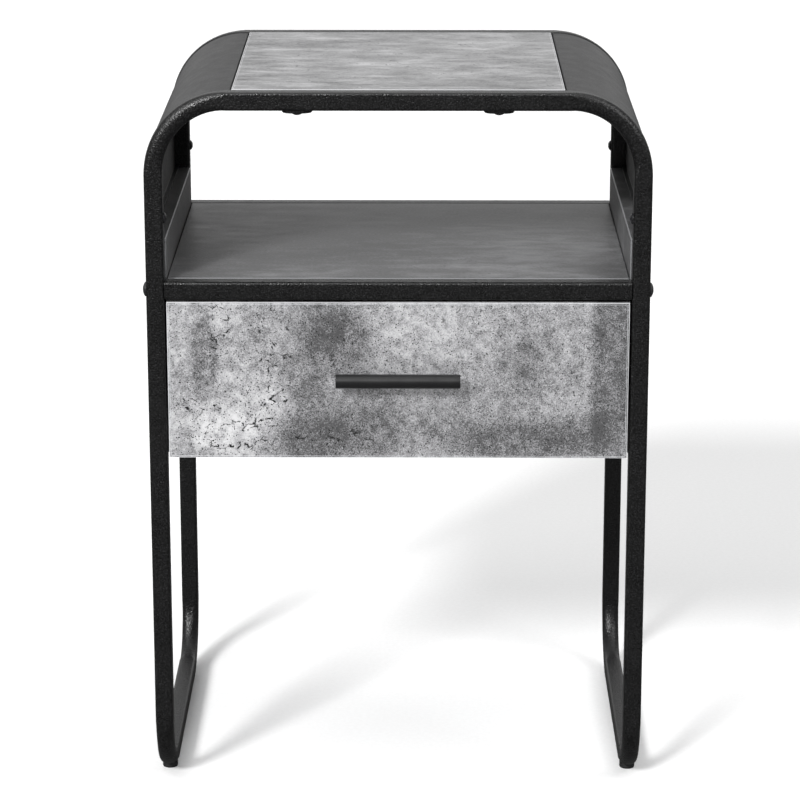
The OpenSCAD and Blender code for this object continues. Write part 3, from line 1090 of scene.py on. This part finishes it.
TUBE_COAT = PowderCoat(
    name="steel_powder_coated_fine_texture",
    pigment="#040404",
    dust="#1c1c1d",
    grain_mm=1.3,
    relief_mm=0.4,
    roughness=(0.26, 0.42),
    specular=0.45,
)
SHEET_COAT = PowderCoat(
    name="steel_sheet_powder_coated_satin",
    pigment="#131314",
    dust="#252526",
    grain_mm=1.2,
    relief_mm=0.06,
    roughness=(0.36, 0.48),
    specular=0.3,
)
FRONT_DECOR = ConcreteDecor(
    name="melamine_concrete_decor_drawer_front",
    dark="#434344",
    middle="#88888a",
    light="#bcbcbd",
    pit="#0c0c0d",
    roughness=(0.38, 0.55),
    pit_share=0.7,
    crack_share=0.5,
    contrast=1.2,
    mottle_mm=9.0,
    clouds=(
        Cloud((-70, -161, 446), (32, 90, 40), 0.11, 0.25),
        Cloud((-48, -161, 424), (40, 90, 36), 0.09, 0.5),
        Cloud((-84, -161, 393), (26, 90, 32), 0.11, 0.4),
        Cloud((-50, -161, 345), (60, 90, 66), 0.08, 0.2),
        Cloud((-51, -161, 426), (40, 90, 32), 0.082),
        Cloud((-78, -161, 334), (60, 90, 32), 0.118),
        Cloud((3, -161, 343), (115, 90, 30), 0.073),
        Cloud((105, -161, 328), (78, 90, 28), 0.127, 0.5),
        Cloud((162, -161, 340), (45, 90, 34), 0.109),
        Cloud((214, -161, 388), (50, 90, 300), 0.15, 0.15),
        Cloud((111, -161, 402), (18, 90, 38), 0.064),
        Cloud((140, -161, 405), (130, 90, 110), 0.05),
        Cloud((-172, -161, 406), (16, 90, 44), 0.09, 0.25),
        Cloud((-189, -161, 427), (18, 90, 44), -0.08),
        Cloud((-150, -161, 444), (22, 90, 24), -0.09),
        Cloud((-138, -161, 372), (58, 90, 60), -0.073),
        Cloud((-152, -161, 337), (44, 90, 32), -0.07, 0.5),
        Cloud((33, -161, 426), (90, 90, 40), -0.045),
        Cloud((150, -161, 363), (36, 90, 16), -0.091),
    ),
    cracked=(
        Cloud((-157, -161, 435), (15, 90, 30), 1.6, 0.3),
        Cloud((-109, -161, 408), (19, 90, 66), 1.5, 0.3),
        Cloud((-152, -161, 364), (50, 90, 20), 1.5, 0.3),
        Cloud((-148, -161, 334), (50, 90, 20), 1.5, 0.3),
        Cloud((-119, -161, 352), (16, 90, 40), 1.8, 0.3),
        Cloud((-63, -161, 332), (56, 90, 18), 1.0, 0.4),
        Cloud((-65, -161, 415), (22, 90, 24), 0.9, 0.4),
        Cloud((70, -161, 440), (90, 90, 26), 0.7),
    ),
)
BOARD_DECOR = ConcreteDecor(
    name="melamine_concrete_decor",
    dark="#58595b",
    middle="#8e8f91",
    light="#bcbdbf",
    pit="#2f3032",
    roughness=(0.38, 0.55),
    seed=0.37,
    pit_share=0.5,
    clouds=(
        Cloud((-120, 171, 400), (90, 90, 60), 0.07),
        Cloud((60, 171, 345), (110, 90, 40), 0.06),
        Cloud((150, 171, 420), (60, 90, 50), -0.05),
    ),
    cracked=(
        Cloud((100, 171, 400), (30, 90, 60), 1.4, 0.3),
        Cloud((-60, 171, 350), (70, 90, 24), 1.2, 0.3),
    ),
)
TOP_DECOR = ConcreteDecor(
    name="melamine_concrete_decor_top",
    dark="#303031",
    middle="#828283",
    light="#b4b4b5",
    pit="#39393a",
    roughness=(0.34, 0.46),
    seed=0.81,
    streak=2.4,
    cloud_mm=64.0,
    mottle_mm=16.0,
    sand_share=0.4,
    pit_share=0.46,
    contrast=1.4,
    crack_share=0.43,
)
SHELF_DECOR = ConcreteDecor(
    name="melamine_dark_concrete_decor",
    dark="#262627",
    middle="#575758",
    light="#8c8c8e",
    pit="#1c1c1d",
    roughness=(0.36, 0.48),
    seed=1.53,
    streak=2.4,
    cloud_mm=110.0,
    mottle_mm=16.0,
    mottle_share=0.55,
    sand_share=0.6,
    pit_share=0.42,
    contrast=1.2,
    # painted shade over the shelf's left and rear, where the left side frame and the
    # top shade it, and painted light over its front and right, where the key and the
    # sheen fall
    clouds=(
        Cloud((-170, 90, 475), (140, 160, 90), 0.2, 1.0),
        Cloud((120, -40, 475), (170, 170, 90), -0.12, 1.0),
        Cloud((-90, -130, 475), (70, 40, 90), -0.06, 1.0),
    ),
    cracked=(Cloud((60, -100, 475), (160, 60, 40), 0.7),),
    arris="#77787a",
)
BOX_LAMINATE = Lacquer(
    name="melamine_dark_grey_plain",
    colour="#56575a",
    roughness=(0.42, 0.55),
    relief_mm=0.03,
    grain_mm=0.8,
)
BLACK_ZINC = Lacquer(
    name="steel_black_zinc_plated",
    colour="#1b1b1d",
    roughness=(0.22, 0.36),
    relief_mm=0.01,
    grain_mm=1.2,
)
HANDLE_LACQUER = Lacquer(
    name="steel_black_lacquered_satin",
    colour="#131314",
    roughness=(0.34, 0.42),
    relief_mm=0.008,
    grain_mm=1.4,
)
PAD_PLASTIC = Lacquer(
    name="polyethylene_moulded_black",
    colour="#1c1c1d",
    roughness=(0.48, 0.6),
    relief_mm=0.05,
    grain_mm=0.7,
)
FITTING_ZINC = ZincPlate(
    name="steel_zinc_plated_turned",
    colour="#c9ccd1",
    dull="#a7abb1",
    roughness=(0.28, 0.42),
)
SLIDE_STEEL = ZincPlate(
    name="steel_zinc_plated_rolled",
    colour="#d4d6da",
    dull="#b3b6bb",
    roughness=(0.2, 0.36),
    line_mm=0.35,
)
DOWEL_BEECH = TurnedBeech()

KEPT_FINISHES: dict[Slot, Finish] = {
    Slot.TUBE: TUBE_COAT,
    Slot.SHEET: SHEET_COAT,
    Slot.CONCRETE: BOARD_DECOR,
    Slot.SHELF: SHELF_DECOR,
    Slot.DRAWER_BOX: BOX_LAMINATE,
    Slot.FASTENERS: BLACK_ZINC,
    Slot.HANDLE: HANDLE_LACQUER,
    Slot.ZINC: FITTING_ZINC,
    Slot.STEEL: SLIDE_STEEL,
    Slot.BEECH: DOWEL_BEECH,
    Slot.PLASTIC: PAD_PLASTIC,
}


@dataclass(frozen=True)
class Straight:
    """A straight run of tube."""

    length: float


@dataclass(frozen=True)
class Bend:
    """A bend of tube: its centreline's radius, and the axis that it turns about."""

    radius: float
    axis: Vector
    angle: float = math.pi / 2
    steps: int = 28


@dataclass
class TubeFrame:
    """The arches, the sled side frames and the rails, all of square tube."""

    tube: float = 16 * MM
    wall: float = 1.2 * MM
    corner: float = 2.5 * MM
    bend_corner: float = 7.2 * MM
    corner_strips: int = 6
    end_chamfer: float = 0.45 * MM
    mouth_depth: float = 31 * MM
    arch_bend: float = 72 * MM
    sled_bend: float = 60 * MM
    finish: PowderCoat = TUBE_COAT

    def sweep(
        self, name: str, start: Vector, heading: Vector, runs: Sequence[Straight | Bend]
    ) -> Workpiece:
        """Draws one tube along its runs.

        Args:
            name: the tube's name.
            start: the centre of its first end.
            heading: the way that it sets off.
            runs: its straight runs and bends, in order.

        Returns:
            The tube, with hollow mouths and eased ends.
        """
        tube = Workpiece.plate(name, start, self.tube, heading)
        tube.pick(Element.VERT, lambda place, normal: True)
        tube.bevel(self.corner, self.corner_strips, affect=Element.VERT)
        tube.pick(Element.FACE, lambda place, normal: True)
        place, way = start.copy(), heading.copy()
        bends: list[tuple[Vector, Vector, Vector, Bend]] = []
        for run in runs:
            if isinstance(run, Straight):
                tube.extrude(way * run.length)
                place += way * run.length
                continue
            inward = run.axis.cross(way)
            centre = place + inward * run.radius
            tube.spin(centre, run.axis, run.angle, run.steps)
            bends.append((centre, way.copy(), inward.copy(), run))
            place = centre + way * run.radius
            way = inward.copy()
        tube.close()
        for bend in bends:
            self.round_bend(tube, *bend)
        for end, out in ((start, -heading), (place, way)):
            self.open_mouth(tube, end, out)
        return tube

    def round_bend(
        self, tube: Workpiece, centre: Vector, way: Vector, inward: Vector, bend: Bend
    ) -> None:
        """Rounds the section through a bend, as a square tube gets when it is bent.

        Args:
            tube: the tube.
            centre: the bend's middle.
            way: the tube's heading as it enters the bend.
            inward: the way from there to the bend's middle.
            bend: the bend.
        """
        flat = self.tube / 2 - self.corner
        tube.pick(Element.VERT, lambda place, normal: True)
        mesh = bmesh.from_edit_mesh(tube.object.data)
        for vert in mesh.verts:
            arm = vert.co - centre
            along, out = arm.dot(way), -arm.dot(inward)
            turned = math.atan2(along, out) / bend.angle
            lift = math.hypot(along, out)
            side = arm.dot(bend.axis)
            # the rings at the bend's two ends keep the straight section
            if not 0.001 < turned < 0.999 or abs(lift - bend.radius) > self.tube:
                continue
            spoke = (-inward * out + way * along) / lift
            depth = lift - bend.radius
            corner = Vector((math.copysign(flat, depth), math.copysign(flat, side)))
            round_to = (Vector((depth, side)) - corner) / self.corner
            fullness = math.sin(math.pi * turned) ** 0.5
            radius = self.corner + (self.bend_corner - self.corner) * fullness
            middle = self.tube / 2 - radius
            depth = math.copysign(middle, depth) + round_to.x * radius
            side = math.copysign(middle, side) + round_to.y * radius
            vert.co = centre + spoke * (bend.radius + depth) + bend.axis * side
        bmesh.update_edit_mesh(tube.object.data)

    def open_mouth(self, tube: Workpiece, end: Vector, out: Vector) -> None:
        """Eases one end of a tube and hollows it to the tube's wall.

        Args:
            tube: the tube.
            end: the centre of its end.
            out: the way that the end faces.
        """

        def is_end(place: Vector, normal: Vector) -> bool:
            """Says whether a face is this end's own."""
            return (place - end).length < NEAR and normal.dot(out) > PARALLEL

        tube.pick(Element.FACE, is_end)
        bpy.ops.mesh.region_to_loop()
        tube.bevel(self.end_chamfer, 2)
        tube.pick(Element.FACE, is_end)
        tube.inset(self.wall - self.end_chamfer)
        tube.extrude(-out * self.mouth_depth)

    def arch(self, node: str) -> Workpiece:
        """Draws an arch: up one leg, over the top and down the other leg.

        Args:
            node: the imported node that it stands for.

        Returns:
            The tube.
        """
        low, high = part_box(node)
        half = self.tube / 2
        radius = self.arch_bend - half
        rise = Straight(high.z - self.arch_bend - low.z)
        over = Straight(high.x - low.x - 2 * self.arch_bend)
        bend = Bend(radius, Vector(Axis.Y.value))
        start = Vector((low.x + half, (low.y + high.y) / 2, low.z))
        return self.sweep(
            node + "_tube",
            start,
            Vector(Axis.Z.value),
            [rise, bend, over, bend, rise],
        )

    def sled(self, node: str) -> Workpiece:
        """Draws a side frame: down the front leg, along the floor and up the rear.

        Args:
            node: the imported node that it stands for.

        Returns:
            The tube.
        """
        low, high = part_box(node)
        half = self.tube / 2
        radius = self.sled_bend - half
        drop = Straight(high.z - low.z - self.sled_bend)
        runner = Straight(high.y - low.y - 2 * self.sled_bend)
        bend = Bend(radius, Vector(Axis.X.value))
        start = Vector(((low.x + high.x) / 2, low.y + half, high.z))
        return self.sweep(
            node + "_tube",
            start,
            -Vector(Axis.Z.value),
            [drop, bend, runner, bend, drop],
        )

    def rail(self, node: str) -> Workpiece:
        """Draws a rail between the legs, with the same rounded corners.

        Args:
            node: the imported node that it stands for.

        Returns:
            The tube.
        """
        low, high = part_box(node)
        start = Vector((low.x, (low.y + high.y) / 2, (low.z + high.z) / 2))
        return self.sweep(
            node + "_tube",
            start,
            Vector(Axis.X.value),
            [Straight(high.x - low.x)],
        )

    def build(self) -> None:
        """Builds every tube and dresses it."""
        shapes = {
            "front_arch": self.arch,
            "rear_arch": self.arch,
            "left_side_frame": self.sled,
            "right_side_frame": self.sled,
            "front_rail": self.rail,
            "rear_rail": self.rail,
        }
        for node, draw in shapes.items():
            draw(node).finish(Slot.TUBE, Body.FRAME, self.finish, node, 30.0)


@dataclass
class CornerCovers:
    """The bent sheets over the two top corners, between the arches."""

    sheet: float = 1.2 * MM
    bend_centre: tuple[float, float] = (148 * MM, 570.5 * MM)
    flange: float = 9 * MM
    hem: float = 5 * MM
    fold: float = 1.6 * MM
    arris: float = 0.25 * MM
    steps: int = 40
    finish: PowderCoat = SHEET_COAT

    def build(self) -> None:
        """Bends the right cover from an edge, thickens it, and mirrors it."""
        low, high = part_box("right_corner_cover")
        centre_x, centre_z = self.bend_centre
        length = high.y - low.y
        cover = Workpiece.plate(
            "right_corner_cover_sheet",
            Vector((low.x + length / 2, (low.y + high.y) / 2, high.z - self.flange)),
            length,
            Vector(Axis.Z.value),
        )
        # only the edge that lies along the flange is kept
        cover.pick(Element.VERT, lambda place, normal: place.x > low.x + length / 2)
        bpy.ops.mesh.delete(type="VERT")
        cover.pick(Element.EDGE, lambda place, way: True)
        cover.extrude_edges(Vector((0, 0, self.flange)))
        cover.extrude_edges(Vector((centre_x - low.x, 0, 0)))
        cover.spin(
            Vector((centre_x, 0, centre_z)),
            Vector(Axis.Y.value),
            math.pi / 2,
            self.steps,
        )
        cover.extrude_edges(Vector((0, 0, low.z - centre_z)))
        cover.extrude_edges(Vector((-self.hem, 0, 0)))
        cover.close()

        def is_fold(place: Vector, way: Vector) -> bool:
            """Says whether an edge is the fold of the flange or of the hem.

            Args:
                place: the edge's middle.
                way: its direction.

            Returns:
                True on the two folds.
            """
            folds = ((low.x, high.z), (high.x, low.z))
            gaps = (math.hypot(place.x - x, place.z - z) for x, z in folds)
            return abs(way.y) > PARALLEL and min(gaps) < NEAR

        cover.pick(Element.EDGE, is_fold)
        cover.bevel(self.fold, 4)
        # the skin faces up and out, and the sheet gets its thickness inwards
        cover.pick(Element.FACE, lambda place, normal: True)
        mesh = bmesh.from_edit_mesh(cover.object.data)
        top = max(mesh.faces, key=lambda face: face.calc_center_median().z)
        if top.normal.z < 0:
            bpy.ops.mesh.flip_normals()
        cover.modify(
            "SOLIDIFY", thickness=self.sheet, offset=-1.0, use_even_offset=True
        )
        cover.modify(
            "BEVEL",
            width=self.arris,
            segments=2,
            limit_method="ANGLE",
            angle_limit=math.radians(60),
        )
        left = cover.mirror_x("left_corner_cover_sheet")
        for side, piece in (("right", cover), ("left", left)):
            piece.finish(Slot.SHEET, Body.FRAME, self.finish, side + "_corner_cover")


@dataclass
class EdgedBoard:
    """A laminated board with a banded edge, a trimmed arris and a hairline joint."""

    node: str
    name: str
    body: Body
    slot: Slot
    finish: Finish
    arris: float = 0.7 * MM
    band: float = 1.0 * MM
    joint: float = 0.12 * MM

    def build(self) -> None:
        """Builds the board and dresses it."""
        low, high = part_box(self.node)
        size = high - low
        thin = min(range(3), key=lambda i: size[i])
        board = Workpiece.block(self.name, low, high)
        board.pick(Element.EDGE, lambda place, way: True)
        board.bevel(self.arris, 2)

        def is_face(place: Vector, normal: Vector) -> bool:
            """Says whether a face is one of the two wide ones."""
            return abs(normal[thin]) > PARALLEL

        board.pick(Element.FACE, is_face)
        board.inset(self.band)
        board.inset(self.joint, -self.joint)
        board.inset(self.joint, self.joint)
        board.finish(self.slot, self.body, self.finish, self.node, 40.0)


@dataclass
class TopBrackets:
    """The four rounded tabs that hold the top panel to the arches."""

    width: float = 26 * MM
    length: float = 36 * MM
    corner: float = 8 * MM
    edge: float = 0.8 * MM
    finish: PowderCoat = TUBE_COAT

    def build(self) -> None:
        """Builds one tab, copies it to the other three places, and joins them."""
        low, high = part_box("top_brackets")
        tab = Workpiece.block(
            "top_bracket_tabs",
            low,
            Vector((low.x + self.width, low.y + self.length, high.z)),
        )
        tab.pick(Element.EDGE, lambda place, way: abs(way.z) > PARALLEL)
        tab.bevel(self.corner, 8)
        tab.pick(
            Element.EDGE,
            lambda place, way: abs(way.z) < LEVEL and place.z < low.z + NEAR,
        )
        tab.bevel(self.edge, 3)
        across = Vector((high.x - low.x - self.width, 0, 0))
        back = Vector((0, high.y - low.y - self.length, 0))
        others = [
            tab.copy(f"tab_{i}", move)
            for i, move in enumerate((across, back, across + back))
        ]
        tab.join(others)
        tab.finish(Slot.TUBE, Body.FRAME, self.finish, "top_brackets")


@dataclass
class BarHandle:
    """The round bar handle with its two posts."""

    sides: int = 64
    chamfer: float = 0.6 * MM
    plug_inset: float = 1.1 * MM
    plug_joint: float = 0.15 * MM
    post_sides: int = 40
    post_chamfer: float = 0.4 * MM
    finish: Lacquer = HANDLE_LACQUER

    def build(self) -> None:
        """Builds the bar and the posts."""
        self.build_bar()
        self.build_posts()

    def build_bar(self) -> None:
        """Builds the bar, with eased ends and an end plug's fine joint."""
        low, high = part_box("handle_bar")
        middle = (low + high) / 2
        bar = Workpiece.rod(
            "handle_bar_round",
            Vector((low.x, middle.y, middle.z)),
            Vector((high.x, middle.y, middle.z)),
            (high.z - low.z) / 2,
            self.sides,
        )

        def is_end(place: Vector, normal: Vector) -> bool:
            """Says whether a face closes an end."""
            return abs(normal.x) > PARALLEL

        bar.pick(Element.FACE, is_end)
        bpy.ops.mesh.region_to_loop()
        bar.bevel(self.chamfer, 3)
        bar.pick(Element.FACE, is_end)
        bar.inset(self.plug_inset)
        bar.inset(self.plug_joint, -self.plug_joint)
        bar.inset(self.plug_joint, self.plug_joint)
        bar.finish(Slot.HANDLE, Body.DRAWER, self.finish, "handle_bar", 30.0)

    def build_posts(self) -> None:
        """Builds one post with an eased foot against the drawer, and copies it."""
        low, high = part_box("handle_posts")
        radius = (high.z - low.z) / 2
        z = (low.z + high.z) / 2
        post = Workpiece.rod(
            "handle_posts_round",
            Vector((low.x + radius, low.y, z)),
            Vector((low.x + radius, high.y, z)),
            radius,
            self.post_sides,
        )
        post.pick(Element.FACE, lambda place, normal: normal.y > PARALLEL)
        bpy.ops.mesh.region_to_loop()
        post.bevel(self.post_chamfer, 2)
        other = post.copy("post_1", Vector((high.x - low.x - 2 * radius, 0, 0)))
        post.join([other])
        post.finish(Slot.HANDLE, Body.DRAWER, self.finish, "handle_posts", 30.0)


@dataclass
class FloorPads:
    """The four round push-in pads under the runners."""

    sides: int = 48
    radius: float = 7 * MM
    stem: float = 3 * MM
    rim: float = 1.0 * MM
    foot_inset: float = 2.2 * MM
    dish: float = 0.4 * MM
    dish_slope: float = 0.6 * MM
    finish: Lacquer = PAD_PLASTIC

    def build(self) -> None:
        """Turns one pad, copies it to the other three places, and joins them."""
        low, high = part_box("floor_pads")
        radius = self.radius
        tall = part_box("left_side_frame")[0].z - low.z
        foot = Vector((low.x + radius, low.y + radius, low.z))
        pad = Workpiece.rod(
            "floor_pad_set", foot, foot + Vector((0, 0, tall)), radius, self.sides
        )
        pad.pick(Element.FACE, lambda place, normal: normal.z < -PARALLEL)
        bpy.ops.mesh.region_to_loop()
        pad.bevel(self.rim, 4)
        pad.pick(Element.FACE, lambda place, normal: normal.z < -PARALLEL)
        pad.inset(self.foot_inset)
        pad.inset(self.dish_slope, -self.dish)
        pad.pick(Element.FACE, lambda place, normal: normal.z > PARALLEL)
        pad.inset(radius - self.stem)
        pad.extrude(Vector((0, 0, high.z - low.z - tall)))
        across = Vector((high.x - low.x - 2 * radius, 0, 0))
        back = Vector((0, high.y - low.y - 2 * radius, 0))
        others = [
            pad.copy(f"pad_{i}", move)
            for i, move in enumerate((across, back, across + back))
        ]
        pad.join(others)
        pad.finish(Slot.PLASTIC, Body.FRAME, self.finish, "floor_pads")


@dataclass
class KeptNodes:
    """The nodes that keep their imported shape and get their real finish."""

    finishes: dict[Slot, Finish]

    def dress(self, nodes: dict[str, bpy.types.Object]) -> None:
        """Dresses each shown node by the slot that its packed material is named for.

        Args:
            nodes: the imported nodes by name.
        """
        for name, node in sorted(nodes.items()):
            if node.hide_render:
                continue
            for place in node.material_slots:
                slot = Slot(place.material.name.split(".")[0])
                place.material = self.finishes[slot].material()
            LOG.info("%s: kept and dressed", name)


@dataclass
class Studio:
    """Plain pale floor, soft lights and the camera."""

    floor_half: float = 14.0
    camera_place: Triple = (17.8 * MM, -2798 * MM, 1119 * MM)
    pitch_deg: float = 15.87
    turn_deg: float = 0.35
    lens: float = 140.2
    ambient: float = 0.3
    backdrop: float = 0.72
    softbox_size: float = 1.0
    lit_height: float = 0.4

    def build(self) -> None:
        """Sets up the floor, the lights, the backdrop and the camera."""
        self.build_floor()
        self.build_world()
        self.build_lights()
        self.build_camera()

    def build_floor(self) -> None:
        """Lays the pale floor."""
        floor = Workpiece.plate(
            "floor", Vector((0, 0, 0)), 2 * self.floor_half, Vector(Axis.Z.value)
        )
        material = bpy.data.materials.new("floor_paper_matt")
        material.use_nodes = True
        tree = material.node_tree
        shader = tree.nodes["Principled BSDF"]
        fibre = noise(tree, Coords().build(tree), 4.0, 2.0)
        paper = tint(tree, fibre, [(0.3, linear("#f4f4f4")), (0.7, linear("#f8f8f8"))])
        # black cards on the floor keep its glare out of the dark tubes
        carded = blend_colours(
            tree,
            add(tree, "LightPath").outputs["Is Glossy Ray"],
            paper,
            linear("#5a5a5a"),
        )
        feed(tree, shader.inputs["Base Color"], carded)
        shader.inputs["Roughness"].default_value = 0.9
        shader.inputs["Specular IOR Level"].default_value = 0.1
        floor.object.data.materials.append(material)

    def build_world(self) -> None:
        """Makes the backdrop white to the eye and dimmer as a light."""
        world = bpy.data.worlds.new("studio")
        bpy.context.scene.world = world
        world.use_nodes = True
        tree = world.node_tree
        shown = tree.nodes["Background"]
        split = add(
            tree, "SeparateXYZ", {0: add(tree, "TexCoord").outputs["Generated"]}
        )
        sweep = rescale(
            tree,
            split.outputs["Y"],
            (0.45, 0.85),
            (self.ambient, self.backdrop),
            interpolation_type="SMOOTHSTEP",
        )
        eye = add(tree, "LightPath").outputs["Is Camera Ray"]
        feed(tree, shown.inputs["Strength"], maths(tree, "MAXIMUM", eye, sweep))
        shown.inputs["Color"].default_value = (1, 1, 1, 1)

    def light(
        self,
        name: str,
        kind: str,
        place_deg: Span,
        power: float,
        distance: float = 0.0,
    ) -> bpy.types.Light:
        """Adds one light that faces the table.

        Args:
            name: the light's name.
            kind: "SUN" or "AREA".
            place_deg: its azimuth, 0 in front and positive to the right, and elevation.
            power: its strength, in watts per square metre for a sun or watts.
            distance: how far off it stands, which is nothing to a sun.

        Returns:
            The light's data, for its size.
        """
        azimuth, elevation = (math.radians(a) for a in place_deg)
        way = Vector(
            (
                math.sin(azimuth) * math.cos(elevation),
                -math.cos(azimuth) * math.cos(elevation),
                math.sin(elevation),
            )
        )
        data = bpy.data.lights.new(name, kind)
        data.energy = power
        light = bpy.data.objects.new(name, data)
        light.location = Vector((0, 0, self.lit_height)) + way * distance
        light.rotation_euler = way.to_track_quat("Z", "Y").to_euler()
        bpy.context.scene.collection.objects.link(light)
        return data

    def build_lights(self) -> None:
        """Adds the key, the overhead light and the two side softboxes.

        The key and the overhead light are suns, so that they light the floor evenly.
        """
        for name, place_deg, power, spread_deg in (
            ("key_light", (-28.0, 32.0), 3.1, 12.0),
            ("top_light", (0.0, 88.0), 1.15, 70.0),
        ):
            sun = self.light(name, "SUN", place_deg, power)
            sun.angle = math.radians(spread_deg)
        for name, place_deg, power, distance in (
            ("left_softbox", (-62.0, 40.0), 12.0, 2.6),
            ("right_softbox", (60.0, 38.0), 20.0, 2.8),
        ):
            box = self.light(name, "AREA", place_deg, power, distance)
            box.shape = "RECTANGLE"
            box.size = box.size_y = self.softbox_size

    def build_camera(self) -> None:
        """Places the camera in front, above the top, looking slightly down."""
        data = bpy.data.cameras.new("camera")
        data.lens = self.lens
        data.clip_end = 100
        camera = bpy.data.objects.new("camera", data)
        camera.location = self.camera_place
        camera.rotation_euler = (
            math.radians(90 - self.pitch_deg),
            0.0,
            math.radians(self.turn_deg),
        )
        bpy.context.scene.collection.objects.link(camera)
        bpy.context.scene.camera = camera
        bpy.context.scene.view_settings.view_transform = "Standard"


def main() -> None:
    """Builds the table piece by piece, then the studio round it."""
    logging.basicConfig(level=logging.INFO, format="%(name)s %(message)s")
    TubeFrame().build()
    CornerCovers().build()
    EdgedBoard(
        "top_panel", "top_panel_board", Body.FRAME, Slot.CONCRETE, TOP_DECOR
    ).build()
    EdgedBoard(
        "drawer_front", "drawer_front_board", Body.DRAWER, Slot.CONCRETE, FRONT_DECOR
    ).build()
    TopBrackets().build()
    BarHandle().build()
    FloorPads().build()
    KeptNodes(KEPT_FINISHES).dress(frame["nodes"])
    Studio().build()
    Workpiece.clear()


if __name__ == "__main__":
    main()
